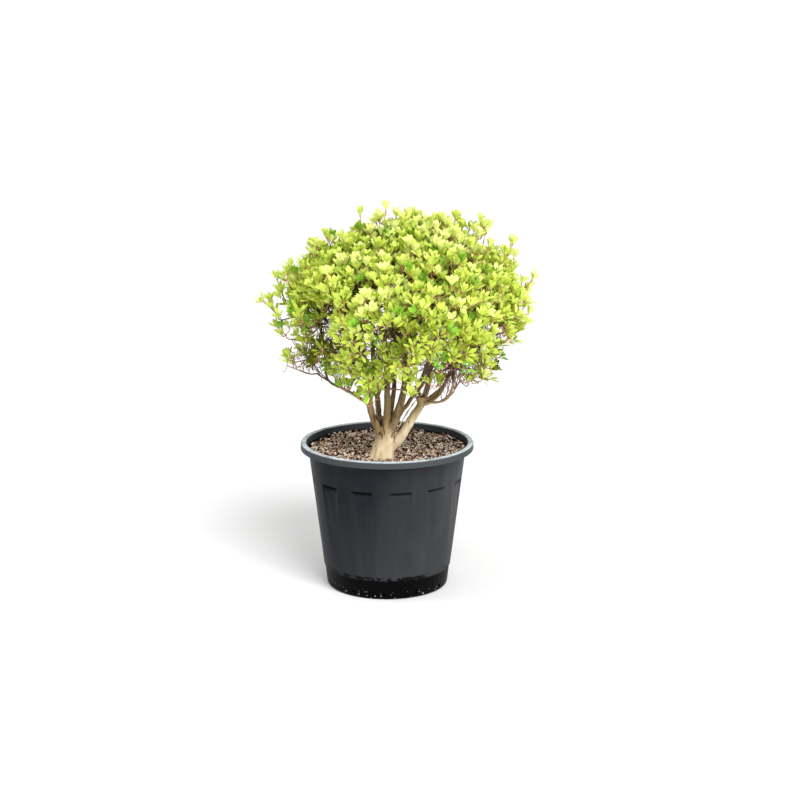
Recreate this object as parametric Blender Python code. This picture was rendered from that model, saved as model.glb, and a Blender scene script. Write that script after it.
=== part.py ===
"""Potted enkianthus: a domed deciduous shrub in a black nursery pot.

Units are metres and +Z is up. The origin is the centre of the pot's flat underside, and -Y is the
front. The solids are the pot, the compost in it, the trunk, one tapering limb for each bough, and
one mass of twigs and leaves at the end of each bough.
"""
import math
import random

import bmesh
import bpy
from mathutils import Matrix, Quaternion, Vector

# Driving dimensions of the pot
RIM_RADIUS = 0.230
POT_HEIGHT = 0.389
LIP_DEPTH = 0.0185
LIP_INNER_RADIUS = 0.2140
WALL_TOP_RADIUS = 0.2090
WALL_FOOT_RADIUS = 0.1695
WALL_THICKNESS = 0.0032
LIP_ROUNDING = 0.0042
LIP_DRAFT = 0.0008
LIP_SHOULDER = 0.006
FLOOR_THICKNESS = 0.0040
FOOT_BAND_HEIGHT = 0.055
FOOT_BAND_INSET = 0.0025
FOOT_TAPER = 0.006
FOOT_ROUNDING = 0.009

# Recessed panels of the wall
PANEL_COUNT = 12
PANEL_PITCH = 2 * math.pi / PANEL_COUNT
PANEL_PHASE = math.radians(-79.3)
PANEL_HALF_WIDTH = math.radians(8.8)
PANEL_SIDE = math.radians(1.1)
PANEL_DEPTH = 0.0055
PANEL_TOP = 0.3000
PANEL_STEP = 0.0025
PANEL_FADE = 0.085

# Drain holes round the foot
HOLE_RADIUS = 0.0050
HOLE_HEIGHT = 0.0150
HOLE_LENGTH = 0.030

# Compost
SOIL_LEVEL = 0.365
SOIL_COLUMNS = 36
SOIL_RINGS = (0.80, 0.55, 0.25)
SOIL_CHAMFER = 0.004
SOIL_STEP = (0.002, 0.010)
SOIL_SPARE = 0.001
SOIL_RIPPLE = 0.0022
RIPPLE_WAVES = (31, 27, 55)
RIPPLE_PHASES = (1.3, -0.4)
SOIL_LEVEL_REACH = 0.060
SOIL_LEVEL_FADE = 0.050

# Clearance between touching solids
GAP = 0.0003

# Trunk
TRUNK_FOOT = Vector((-0.014, -0.090, SOIL_LEVEL))
TRUNK_FORK = Vector((-0.001, -0.080, 0.446))
TRUNK_FOOT_RADIUS = 0.0315
TRUNK_FORK_RADIUS = 0.0260
TRUNK_SIDES = 20
ROOT_FLARE = 0.0075
FLARE_HEIGHT = 0.018
FLARE_POWER = 1.6
TRUNK_LEVELS = (0.0, 0.006, FLARE_HEIGHT, 0.040, 0.062, 0.074, TRUNK_FORK.z - SOIL_LEVEL)
ROOT_RIDGES = 5
RIDGE_PHASE = 0.6
RIDGE_RELIEF = 0.10
RIDGE_FADE = 0.7
CROTCH_START = 0.85
CROTCH_NARROWING = 0.22

# Boughs: steps in each span of a limb's curve, its taper, and where it enters its mass
PATH_STEPS = 2
TAPER_POWER = 0.85
LAST_SPAN = 0.035
ENTRY_DEPTH = 0.012
SAMPLE_PITCH = 0.006

# Crown: an ellipsoid with its own half height above and below its widest level
CROWN_CENTRE = Vector((0.035, -0.012, 0.770))
CROWN_HALF_X = 0.350
CROWN_HALF_Y = 0.335
CROWN_RISE = 0.250
CROWN_DROP = 0.270

# Twigs and leaves, larger than life because they stand for many
LEAF_LENGTH = 0.080
LEAF_WIDTH = 0.056
LEAF_THICKNESS = 0.0034
LEAF_WIDEST = 0.60
LEAF_RANGE = (0.90, 1.08)
LEAF_SUNK = (0.005, 0.006)
LEAF_SKIN = 0.004
LEAF_SAMPLES_ALONG = (0.35, 0.5, 0.65, 0.8, 1.0)
LEAF_SAMPLES_ACROSS = (-1, -0.5, 0, 0.5, 1)
LEAVES_PER_WHORL = 3
WHORL_SPREAD = math.radians(55)
WHORL_RANGE = (0.85, 1.15)
WHORL_TURN = 0.3
LEAF_LIFT = 0.25
# How a leaf may lie where its own space is taken: its share of the spread, and its twist
LEAF_POSES = (
    (1.0, 0.0), (0.7, 0.0), (0.7, 0.9), (0.7, -0.9), (0.4, 0.0), (0.4, 1.4), (0.2, 0.7), (0.2, -0.7),
)
TWIG_TIP_RADIUS = 0.0021
STEM_RADIUS = 0.0034
STEM_SIDES = 6
STEM_COLLAR = 0.016
STEM_TURN = 0.004
FIRST_TWIG = 0.8
RUN_TAPER = 0.88
BRANCH_TAPER = 0.85
TIP_COUNT = 142
TIP_SHARE = (0.75, 0.82)
TIP_CLEARANCE = 0.012
UNDERSIDE_BARE = 0.47
FORK_REACH = 0.42
CELL_CLEARANCE = 0.0012
LIMB_CLEARANCE = 0.0030
STEM_SHELTER = 0.024
AXIS_SHIFTS = ((1, 0, 0), (-1, 0, 0), (0, 1, 0), (0, -1, 0), (0, 0, 1), (0, 0, -1))
SEED = 4507
ATTEMPTS = 6
WELD = 0.000003


def clear_scene():
    """Remove every object of the open file."""
    for old in list(bpy.data.objects):
        bpy.data.objects.remove(old)


def plain_material(name, colour, roughness):
    """A Principled material with one colour and roughness."""
    material = bpy.data.materials.new(name)
    material.use_nodes = True
    shader = material.node_tree.nodes["Principled BSDF"]
    shader.inputs["Base Color"].default_value = (*colour, 1.0)
    shader.inputs["Roughness"].default_value = roughness
    shader.inputs["Metallic"].default_value = 0.0
    return material


def finish_object(name, bm, material, sharp_angle=math.radians(40)):
    """Turn a bmesh into a smooth shaded object with outward faces."""
    bmesh.ops.recalc_face_normals(bm, faces=bm.faces)
    mesh = bpy.data.meshes.new(name)
    bm.to_mesh(mesh)
    bm.free()
    mesh.shade_smooth()
    mesh.set_sharp_from_angle(angle=sharp_angle)
    piece = bpy.data.objects.new(name, mesh)
    bpy.context.scene.collection.objects.link(piece)
    if material:
        mesh.materials.append(material)
    return piece


def as_cutter(piece):
    """Mark an object as a cutter: a guide that is not part of the model."""
    piece.hide_render = True
    piece.display_type = 'WIRE'
    return piece


def cut(piece, cutter):
    """Subtract a cutter from a piece."""
    modifier = piece.modifiers.new("cut by " + cutter.name, 'BOOLEAN')
    modifier.operation = 'DIFFERENCE'
    modifier.solver = 'EXACT'
    modifier.object = cutter


# Pot

def wall_radius(height):
    """Outer radius of the plain wall between its panels."""
    share = (height - FOOT_BAND_HEIGHT) / (POT_HEIGHT - LIP_DEPTH - FOOT_BAND_HEIGHT)
    return WALL_FOOT_RADIUS + share * (WALL_TOP_RADIUS - WALL_FOOT_RADIUS)


def recess(height):
    """Depth of a panel: abrupt at its top edge, fading out towards the foot."""
    if height >= PANEL_TOP or height <= PANEL_FADE:
        return 0.0
    return PANEL_DEPTH * (height - PANEL_FADE) / (PANEL_TOP - PANEL_STEP - PANEL_FADE)


def pot_columns():
    """Angle of each column of the pot's mesh, and whether it lies on a panel's floor."""
    inner_edge = PANEL_HALF_WIDTH - PANEL_SIDE
    offsets = (
        (-PANEL_HALF_WIDTH, False), (-inner_edge, True), (0.0, True),
        (inner_edge, True), (PANEL_HALF_WIDTH, False),
    )
    columns = []
    for panel in range(PANEL_COUNT):
        centre = PANEL_PHASE + panel * PANEL_PITCH
        columns.extend((centre + offset, on_floor) for offset, on_floor in offsets)
    return columns


def pot_profile():
    """Rows of the pot from the underside, up the outside, over the lip and down the inside."""
    band_top = WALL_FOOT_RADIUS - FOOT_BAND_INSET
    band_foot = band_top - FOOT_TAPER
    lip_top = POT_HEIGHT
    lip_bottom = POT_HEIGHT - LIP_DEPTH
    step_low = PANEL_TOP - PANEL_STEP
    rows = [
        (band_foot - FOOT_ROUNDING, 0.0),
        (band_foot - 0.2 * FOOT_ROUNDING, 0.3 * FOOT_ROUNDING),
        (band_foot, FOOT_ROUNDING),
        (band_top, FOOT_BAND_HEIGHT - FOOT_BAND_INSET),
        (WALL_FOOT_RADIUS, FOOT_BAND_HEIGHT),
        (wall_radius(PANEL_FADE), PANEL_FADE),
        (wall_radius(step_low), step_low),
        (wall_radius(PANEL_TOP), PANEL_TOP),
        (WALL_TOP_RADIUS, lip_bottom),
        (RIM_RADIUS - LIP_ROUNDING, lip_bottom),
        (RIM_RADIUS, lip_bottom + LIP_ROUNDING),
        (RIM_RADIUS - LIP_DRAFT, lip_top - LIP_ROUNDING),
        (RIM_RADIUS - LIP_DRAFT - LIP_ROUNDING, lip_top),
        (LIP_INNER_RADIUS + LIP_ROUNDING, lip_top),
        (LIP_INNER_RADIUS, lip_top - LIP_ROUNDING),
    ]
    inside = (lip_bottom - LIP_SHOULDER, PANEL_TOP, step_low, PANEL_FADE, FOOT_BAND_HEIGHT)
    rows.extend((wall_radius(height) - WALL_THICKNESS, height) for height in inside)
    rows.append((band_foot - WALL_THICKNESS, FLOOR_THICKNESS + FOOT_ROUNDING))
    rows.append((band_foot - FOOT_ROUNDING, FLOOR_THICKNESS))
    return rows


def make_pot(material):
    """The moulded pot: wall with twelve recessed panels, rolled lip, foot band and drain holes."""
    bm = bmesh.new()
    columns = pot_columns()
    rings = []
    for radius, height in pot_profile():
        ring = []
        for angle, on_floor in columns:
            inward = recess(height) if on_floor else 0.0
            reach = radius - inward
            ring.append(bm.verts.new((reach * math.cos(angle), reach * math.sin(angle), height)))
        rings.append(ring)
    count = len(columns)
    for low, high in zip(rings, rings[1:]):
        for i in range(count):
            j = (i + 1) % count
            bm.faces.new((low[i], low[j], high[j], high[i]))
    close_with_fan(bm, rings[0], Vector((0, 0, 0)))
    close_with_fan(bm, rings[-1], Vector((0, 0, FLOOR_THICKNESS)))
    pot = finish_object("pot", bm, material)
    for hole in range(PANEL_COUNT):
        cut(pot, drain_hole_cutter(hole))
    return pot


def close_with_fan(bm, ring, centre):
    """Close a ring of vertices with triangles to its centre."""
    middle = bm.verts.new(centre)
    for i, vertex in enumerate(ring):
        bm.faces.new((vertex, ring[(i + 1) % len(ring)], middle))


def drain_hole_cutter(index):
    """A short rod that points outwards through the foot band, between two panels."""
    angle = PANEL_PHASE + (index + 0.5) * PANEL_PITCH + math.radians(2.0)
    bm = bmesh.new()
    bmesh.ops.create_cone(
        bm, cap_ends=True, segments=8, radius1=HOLE_RADIUS, radius2=HOLE_RADIUS, depth=HOLE_LENGTH,
    )
    place = (
        Matrix.Rotation(angle, 4, 'Z')
        @ Matrix.Translation((WALL_FOOT_RADIUS - FOOT_TAPER, 0, HOLE_HEIGHT))
        @ Matrix.Rotation(math.pi / 2, 4, 'Y')
    )
    bmesh.ops.transform(bm, matrix=place, verts=bm.verts)
    return as_cutter(finish_object(f"drain_hole_cutter_{index}", bm, None))


# Compost

def soil_surface(x, y):
    """Height of the compost: flat round the trunk's foot, gently rippled elsewhere."""
    from_trunk = math.hypot(x - TRUNK_FOOT.x, y - TRUNK_FOOT.y)
    fade = min(1.0, max(0.0, (from_trunk - SOIL_LEVEL_REACH) / SOIL_LEVEL_FADE))
    wave_x, wave_y, wave_across = RIPPLE_WAVES
    phase_x, phase_y = RIPPLE_PHASES
    ripple = math.sin(wave_x * x + phase_x) * math.cos(wave_y * y + phase_y)
    ripple += 0.5 * math.sin(wave_across * (x - y))
    return SOIL_LEVEL - GAP + fade * SOIL_RIPPLE * ripple


def make_soil(material):
    """The compost that fills the pot, clear of its wall, panels and floor.

    Below the panels' tops it is as narrow as they are deep. Its corners stay inside the flat
    facets of the pot's wall.
    """
    bm = bmesh.new()
    shy = math.cos(math.pi / SOIL_COLUMNS) - SOIL_SPARE
    core = WALL_THICKNESS + PANEL_DEPTH + GAP
    wall = WALL_THICKNESS + GAP
    step_low, step_high = (PANEL_TOP + rise for rise in SOIL_STEP)
    corner = wall_radius(0) - FOOT_TAPER - core
    rows = [
        ((corner - SOIL_CHAMFER) * shy, FLOOR_THICKNESS + GAP),
        (corner * shy, 2 * FOOT_ROUNDING),
        ((wall_radius(PANEL_TOP) - core) * shy, step_low),
        ((wall_radius(step_high) - wall) * shy, step_high),
        ((wall_radius(SOIL_LEVEL) - wall) * shy, None),
    ]
    top_radius = rows[-1][0]
    rows.extend((top_radius * share, None) for share in SOIL_RINGS)
    rings = []
    for radius, height in rows:
        ring = []
        for column in range(SOIL_COLUMNS):
            angle = 2 * math.pi * column / SOIL_COLUMNS
            x, y = radius * math.cos(angle), radius * math.sin(angle)
            z = soil_surface(x, y) if height is None else height
            ring.append(bm.verts.new((x, y, z)))
        rings.append(ring)
    for low, high in zip(rings, rings[1:]):
        for i in range(SOIL_COLUMNS):
            j = (i + 1) % SOIL_COLUMNS
            bm.faces.new((low[i], low[j], high[j], high[i]))
    close_with_fan(bm, rings[0], Vector((0, 0, FLOOR_THICKNESS + GAP)))
    close_with_fan(bm, rings[-1], Vector((0, 0, soil_surface(0, 0))))
    return finish_object("soil", bm, material)


# Limbs

def smooth_path(points, steps):
    """Catmull-Rom curve through the points, with the given number of steps in each span."""
    ghost_first = points[0] * 2 - points[1]
    ghost_last = points[-1] * 2 - points[-2]
    control = [ghost_first, *points, ghost_last]
    path = []
    for a, b, c, d in zip(control, control[1:], control[2:], control[3:]):
        for step in range(steps):
            t = step / steps
            path.append(0.5 * (
                2 * b + (c - a) * t + (2 * a - 5 * b + 4 * c - d) * t * t
                + (3 * b - a - 3 * c + d) * t ** 3
            ))
    path.append(points[-1].copy())
    return path


def path_directions(path):
    """Unit direction of the path at each of its points."""
    directions = []
    for i in range(len(path)):
        before = path[max(i - 1, 0)]
        after = path[min(i + 1, len(path) - 1)]
        directions.append((after - before).normalized())
    return directions


def add_tube(bm, path, radii, sides, roll=0.0):
    """Add a closed tube along a path to a bmesh, its rings turned no more than the path turns."""
    directions = path_directions(path)
    turn = Vector((0, 0, 1)).rotation_difference(directions[0])
    rings = []
    for i, (centre, radius) in enumerate(zip(path, radii)):
        if i:
            turn = directions[i - 1].rotation_difference(directions[i]) @ turn
        ring = []
        for side in range(sides):
            angle = roll + 2 * math.pi * side / sides
            arm = Vector((math.cos(angle), math.sin(angle), 0)) * radius
            ring.append(bm.verts.new(centre + turn @ arm))
        rings.append(ring)
    for low, high in zip(rings, rings[1:]):
        for i in range(sides):
            j = (i + 1) % sides
            bm.faces.new((low[i], low[j], high[j], high[i]))
    bm.faces.new(reversed(rings[0]))
    bm.faces.new(rings[-1])


def twig_turn(path):
    """Rotation of the last ring of a tube along the path."""
    directions = path_directions(path)
    turn = Vector((0, 0, 1)).rotation_difference(directions[0])
    for before, after in zip(directions, directions[1:]):
        turn = before.rotation_difference(after) @ turn
    return turn


def taper(first, last, count):
    """Radii that fall from first to last along a limb."""
    return [
        last + (first - last) * (1 - i / (count - 1)) ** TAPER_POWER for i in range(count)
    ]


def trunk_mesh(grow):
    """The trunk as a bmesh, its surface moved outwards by grow."""
    bm = bmesh.new()
    rings = []
    for height in TRUNK_LEVELS:
        share = height / TRUNK_LEVELS[-1]
        centre = TRUNK_FOOT.lerp(TRUNK_FORK, share)
        centre.z = SOIL_LEVEL + height + (0 if 0 < share < 1 else (grow if share else -grow))
        flare = ROOT_FLARE * max(0.0, 1 - height / FLARE_HEIGHT) ** FLARE_POWER
        radius = TRUNK_FOOT_RADIUS + share * (TRUNK_FORK_RADIUS - TRUNK_FOOT_RADIUS) + flare
        radius *= 1 - CROTCH_NARROWING * max(0.0, (share - CROTCH_START) / (1 - CROTCH_START))
        ridge = RIDGE_RELIEF * (1 - RIDGE_FADE * share)
        ring = []
        for side in range(TRUNK_SIDES):
            angle = 2 * math.pi * side / TRUNK_SIDES
            reach = radius * (1 + ridge * math.cos(ROOT_RIDGES * angle + RIDGE_PHASE)) + grow
            x = centre.x + reach * math.cos(angle)
            y = centre.y + reach * math.sin(angle)
            ring.append(bm.verts.new((x, y, centre.z)))
        rings.append(ring)
    for low, high in zip(rings, rings[1:]):
        for i in range(TRUNK_SIDES):
            j = (i + 1) % TRUNK_SIDES
            bm.faces.new((low[i], low[j], high[j], high[i]))
    bm.faces.new(reversed(rings[0]))
    bm.faces.new(rings[-1])
    return bm


class Bough:
    """One tapering limb: where it starts, how it bends, how thick it is, and the mass it feeds."""

    def __init__(self, name, carrier, mass, radii, bends, cut_by=(), sides=7):
        self.name = name
        self.carrier = carrier
        self.mass = mass
        self.base_radius, self.tip_radius = radii
        self.bends = [Vector(bend) for bend in bends]
        self.cut_by = (carrier, *cut_by)
        self.sides = sides
        self.path = []
        self.radii = []

    def lay(self, masses):
        """Work out the limb's curve: its bends, then on to where it enters its mass."""
        points = list(self.bends)
        if self.mass:
            points.append(masses.entry(self.mass, points[-1]))
        self.path = smooth_path(points, PATH_STEPS)
        self.radii = taper(self.base_radius, self.tip_radius, len(self.path))

    def tip(self):
        """End of the limb and its direction there."""
        return self.path[-1], (self.path[-1] - self.path[-2]).normalized()

    def mesh(self, grow=0.0):
        """The limb as a bmesh, its surface moved outwards by grow."""
        path = [point.copy() for point in self.path]
        directions = path_directions(path)
        path[0] -= directions[0] * grow
        path[-1] += directions[-1] * grow
        bm = bmesh.new()
        add_tube(bm, path, [radius + grow for radius in self.radii], self.sides)
        return bm


BOUGHS = (
    Bough("bough_right", "trunk", None, (0.0150, 0.0098), (
        (-0.004, -0.088, 0.385), (0.029, -0.092, 0.412), (0.061, -0.100, 0.466),
        (0.094, -0.105, 0.519),
    ), sides=10),
    Bough("bough_centre", "trunk", "mass_upper_front", (0.0110, 0.0045), (
        (-0.003, -0.086, 0.425), (0.000, -0.088, 0.470), (0.001, -0.092, 0.530),
        (-0.001, -0.100, 0.610), (-0.012, -0.115, 0.700),
    ), ("bough_right",), sides=8),
    Bough("bough_left", "trunk", "mass_upper_left", (0.0115, 0.0042), (
        (-0.008, -0.084, 0.415), (-0.032, -0.084, 0.462), (-0.044, -0.089, 0.510),
        (-0.045, -0.086, 0.565), (-0.070, -0.065, 0.670),
    ), ("bough_centre",), sides=8),
    Bough("bough_inner_right", "trunk", "mass_top", (0.0125, 0.0045), (
        (0.006, -0.078, 0.420), (0.022, -0.069, 0.466), (0.042, -0.055, 0.526),
        (0.048, -0.040, 0.589), (0.042, -0.022, 0.700),
    ), ("bough_centre", "bough_right"), sides=8),
    Bough("bough_inner_left", "trunk", "mass_upper_back_left", (0.0090, 0.0040), (
        (-0.007, -0.074, 0.425), (-0.019, -0.060, 0.462), (-0.026, -0.044, 0.531),
        (-0.036, -0.010, 0.620), (-0.040, 0.030, 0.700),
    ), ("bough_centre", "bough_left")),
    Bough("bough_back", "trunk", "mass_upper_back_right", (0.0080, 0.0040), (
        (0.001, -0.070, 0.425), (0.009, -0.047, 0.470), (0.018, -0.020, 0.531),
        (0.024, 0.020, 0.600), (0.052, 0.060, 0.700),
    ), ("bough_centre", "bough_inner_right", "bough_inner_left")),
    Bough("bough_back_right", "trunk", "mass_upper_right", (0.0062, 0.0036), (
        (0.012, -0.074, 0.425), (0.032, -0.056, 0.470), (0.062, -0.040, 0.510),
        (0.095, -0.015, 0.570), (0.130, -0.004, 0.680),
    ), ("bough_inner_right", "bough_right", "bough_back")),
    Bough("bough_right_upper", "bough_right", "mass_upper_front_right", (0.0082, 0.0040), (
        (0.088, -0.104, 0.508), (0.1055, -0.101, 0.560), (0.112, -0.102, 0.630),
        (0.122, -0.108, 0.710),
    )),
    Bough("bough_right_outer", "bough_right", "mass_right", (0.0062, 0.0036), (
        (0.088, -0.104, 0.512), (0.116, -0.093, 0.530), (0.143, -0.086, 0.552),
        (0.166, -0.074, 0.590),
    ), ("bough_right_upper",), sides=6),
    Bough("bough_right_low", "bough_right", "mass_front_right", (0.0045, 0.0032), (
        (0.088, -0.108, 0.509), (0.112, -0.118, 0.519), (0.140, -0.130, 0.526),
        (0.162, -0.145, 0.548),
    ), ("bough_right_upper", "bough_right_outer"), sides=6),
    Bough("bough_left_low", "bough_left", "mass_left", (0.0046, 0.0032), (
        (-0.042, -0.088, 0.498), (-0.058, -0.089, 0.517), (-0.100, -0.086, 0.543),
        (-0.148, -0.078, 0.566),
    ), sides=6),
    Bough("bough_left_front", "bough_left", "mass_front_left", (0.0044, 0.0032), (
        (-0.044, -0.088, 0.545), (-0.055, -0.105, 0.562), (-0.075, -0.130, 0.590),
    ), sides=6),
    Bough("bough_front_low", "bough_centre", "mass_front", (0.0044, 0.0032), (
        (0.000, -0.092, 0.548), (0.005, -0.115, 0.566), (0.012, -0.150, 0.590),
    ), sides=6),
    Bough("bough_back_left_low", "bough_inner_left", "mass_back_left", (0.0048, 0.0032), (
        (-0.024, -0.046, 0.515), (-0.038, -0.022, 0.532), (-0.062, 0.020, 0.560),
    ), sides=6),
    Bough("bough_back_low", "bough_back", "mass_back", (0.0048, 0.0032), (
        (0.017, -0.024, 0.520), (0.018, 0.008, 0.538), (0.022, 0.060, 0.565),
    ), sides=6),
    Bough("bough_back_right_low", "bough_back_right", "mass_back_right", (0.0044, 0.0032), (
        (0.066, -0.037, 0.513), (0.088, -0.005, 0.533), (0.115, 0.045, 0.568),
    ), sides=6),
)

# Direction of each mass from the crown's centre: azimuth and elevation in degrees, and depth
MASS_CENTRES = {
    "mass_top": (0, 90, 0.62),
    "mass_upper_right": (5, 40, 0.70),
    "mass_upper_back_right": (65, 40, 0.70),
    "mass_upper_back_left": (125, 40, 0.70),
    "mass_upper_left": (185, 40, 0.70),
    "mass_upper_front": (245, 40, 0.70),
    "mass_upper_front_right": (305, 40, 0.70),
    "mass_right": (0, -12, 0.72),
    "mass_back_right": (45, -12, 0.72),
    "mass_back": (90, -12, 0.72),
    "mass_back_left": (135, -12, 0.72),
    "mass_left": (180, -12, 0.72),
    "mass_front_left": (225, -12, 0.72),
    "mass_front": (270, -12, 0.72),
    "mass_front_right": (315, -12, 0.72),
}

# Shoots that stand out of the dome and give the plant its furthest tips
STRAY_TIPS = (
    (-0.017, 0.000, 0.950), (0.078, 0.000, 0.942), (0.240, 0.010, 0.905),
    (-0.272, -0.020, 0.745), (-0.240, 0.010, 0.812), (-0.255, 0.020, 0.690),
    (0.330, 0.000, 0.790), (0.332, -0.020, 0.722), (0.030, 0.270, 0.780),
    (-0.020, -0.285, 0.760),
)


def on_crown(azimuth, elevation, share):
    """A point of the crown's ellipsoid, at a share of the way from its centre."""
    rise = math.sin(elevation)
    flat = math.cos(elevation)
    half_z = CROWN_RISE if rise > 0 else CROWN_DROP
    return CROWN_CENTRE + share * Vector((
        CROWN_HALF_X * flat * math.cos(azimuth), CROWN_HALF_Y * flat * math.sin(azimuth),
        half_z * rise,
    ))


class Masses:
    """The crown shared out among its masses: each has the space nearest to its own centre."""

    def __init__(self):
        self.centres = {
            name: on_crown(math.radians(azimuth), math.radians(elevation), share)
            for name, (azimuth, elevation, share) in MASS_CENTRES.items()
        }

    def clearance(self, name, point):
        """Distance from a point to the nearest border of a mass's space, negative outside it."""
        own = self.centres[name]
        nearest = math.inf
        for other_name, other in self.centres.items():
            if other_name == name:
                continue
            across = (point - other).length_squared - (point - own).length_squared
            nearest = min(nearest, across / (2 * (other - own).length))
        return nearest

    def owner(self, point):
        """Name of the mass whose space holds a point."""
        return min(self.centres, key=lambda name: (point - self.centres[name]).length_squared)

    def entry(self, name, start):
        """Where a bough that comes from start enters its mass."""
        centre = self.centres[name]
        for step in range(1, 100):
            point = start.lerp(centre, step / 100)
            far_enough = (point - start).length > LAST_SPAN
            if far_enough and self.clearance(name, point) > ENTRY_DEPTH:
                return point
        return centre.copy()


def crown_tips(masses):
    """Ends of the twigs, spread evenly over the crown and dealt out to the masses."""
    dice = random.Random(SEED)
    golden = math.pi * (3 - math.sqrt(5))
    tips = {name: [] for name in masses.centres}
    for i in range(TIP_COUNT):
        rise = 1 - 2 * (i + 0.5) / TIP_COUNT
        share = dice.uniform(*TIP_SHARE)
        point = on_crown(i * golden, math.asin(rise), share)
        spread = math.hypot(point.x - CROWN_CENTRE.x, point.y - CROWN_CENTRE.y) / CROWN_HALF_X
        if rise < 0 and spread < UNDERSIDE_BARE:
            continue
        tips[masses.owner(point)].append(point)
    for place in STRAY_TIPS:
        point = Vector(place)
        tips[masses.owner(point)].append(point)
    for name, points in tips.items():
        tips[name] = [keep_inside(masses, name, point) for point in points]
    return tips


def keep_inside(masses, name, point):
    """Move a point towards its mass's centre until it is well clear of the border."""
    centre = masses.centres[name]
    for step in range(60):
        moved = point.lerp(centre, step / 100)
        if masses.clearance(name, moved) > TIP_CLEARANCE:
            return moved
    return centre.copy()


def halves(points):
    """Split points into two groups across their widest direction."""
    spans = [max(p[axis] for p in points) - min(p[axis] for p in points) for axis in range(3)]
    axis = spans.index(max(spans))
    ordered = sorted(points, key=lambda p: p[axis])
    middle = len(ordered) // 2
    return ordered[:middle], ordered[middle:]


def mean(points):
    """Mean of some points."""
    return sum(points, Vector()) / len(points)


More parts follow.
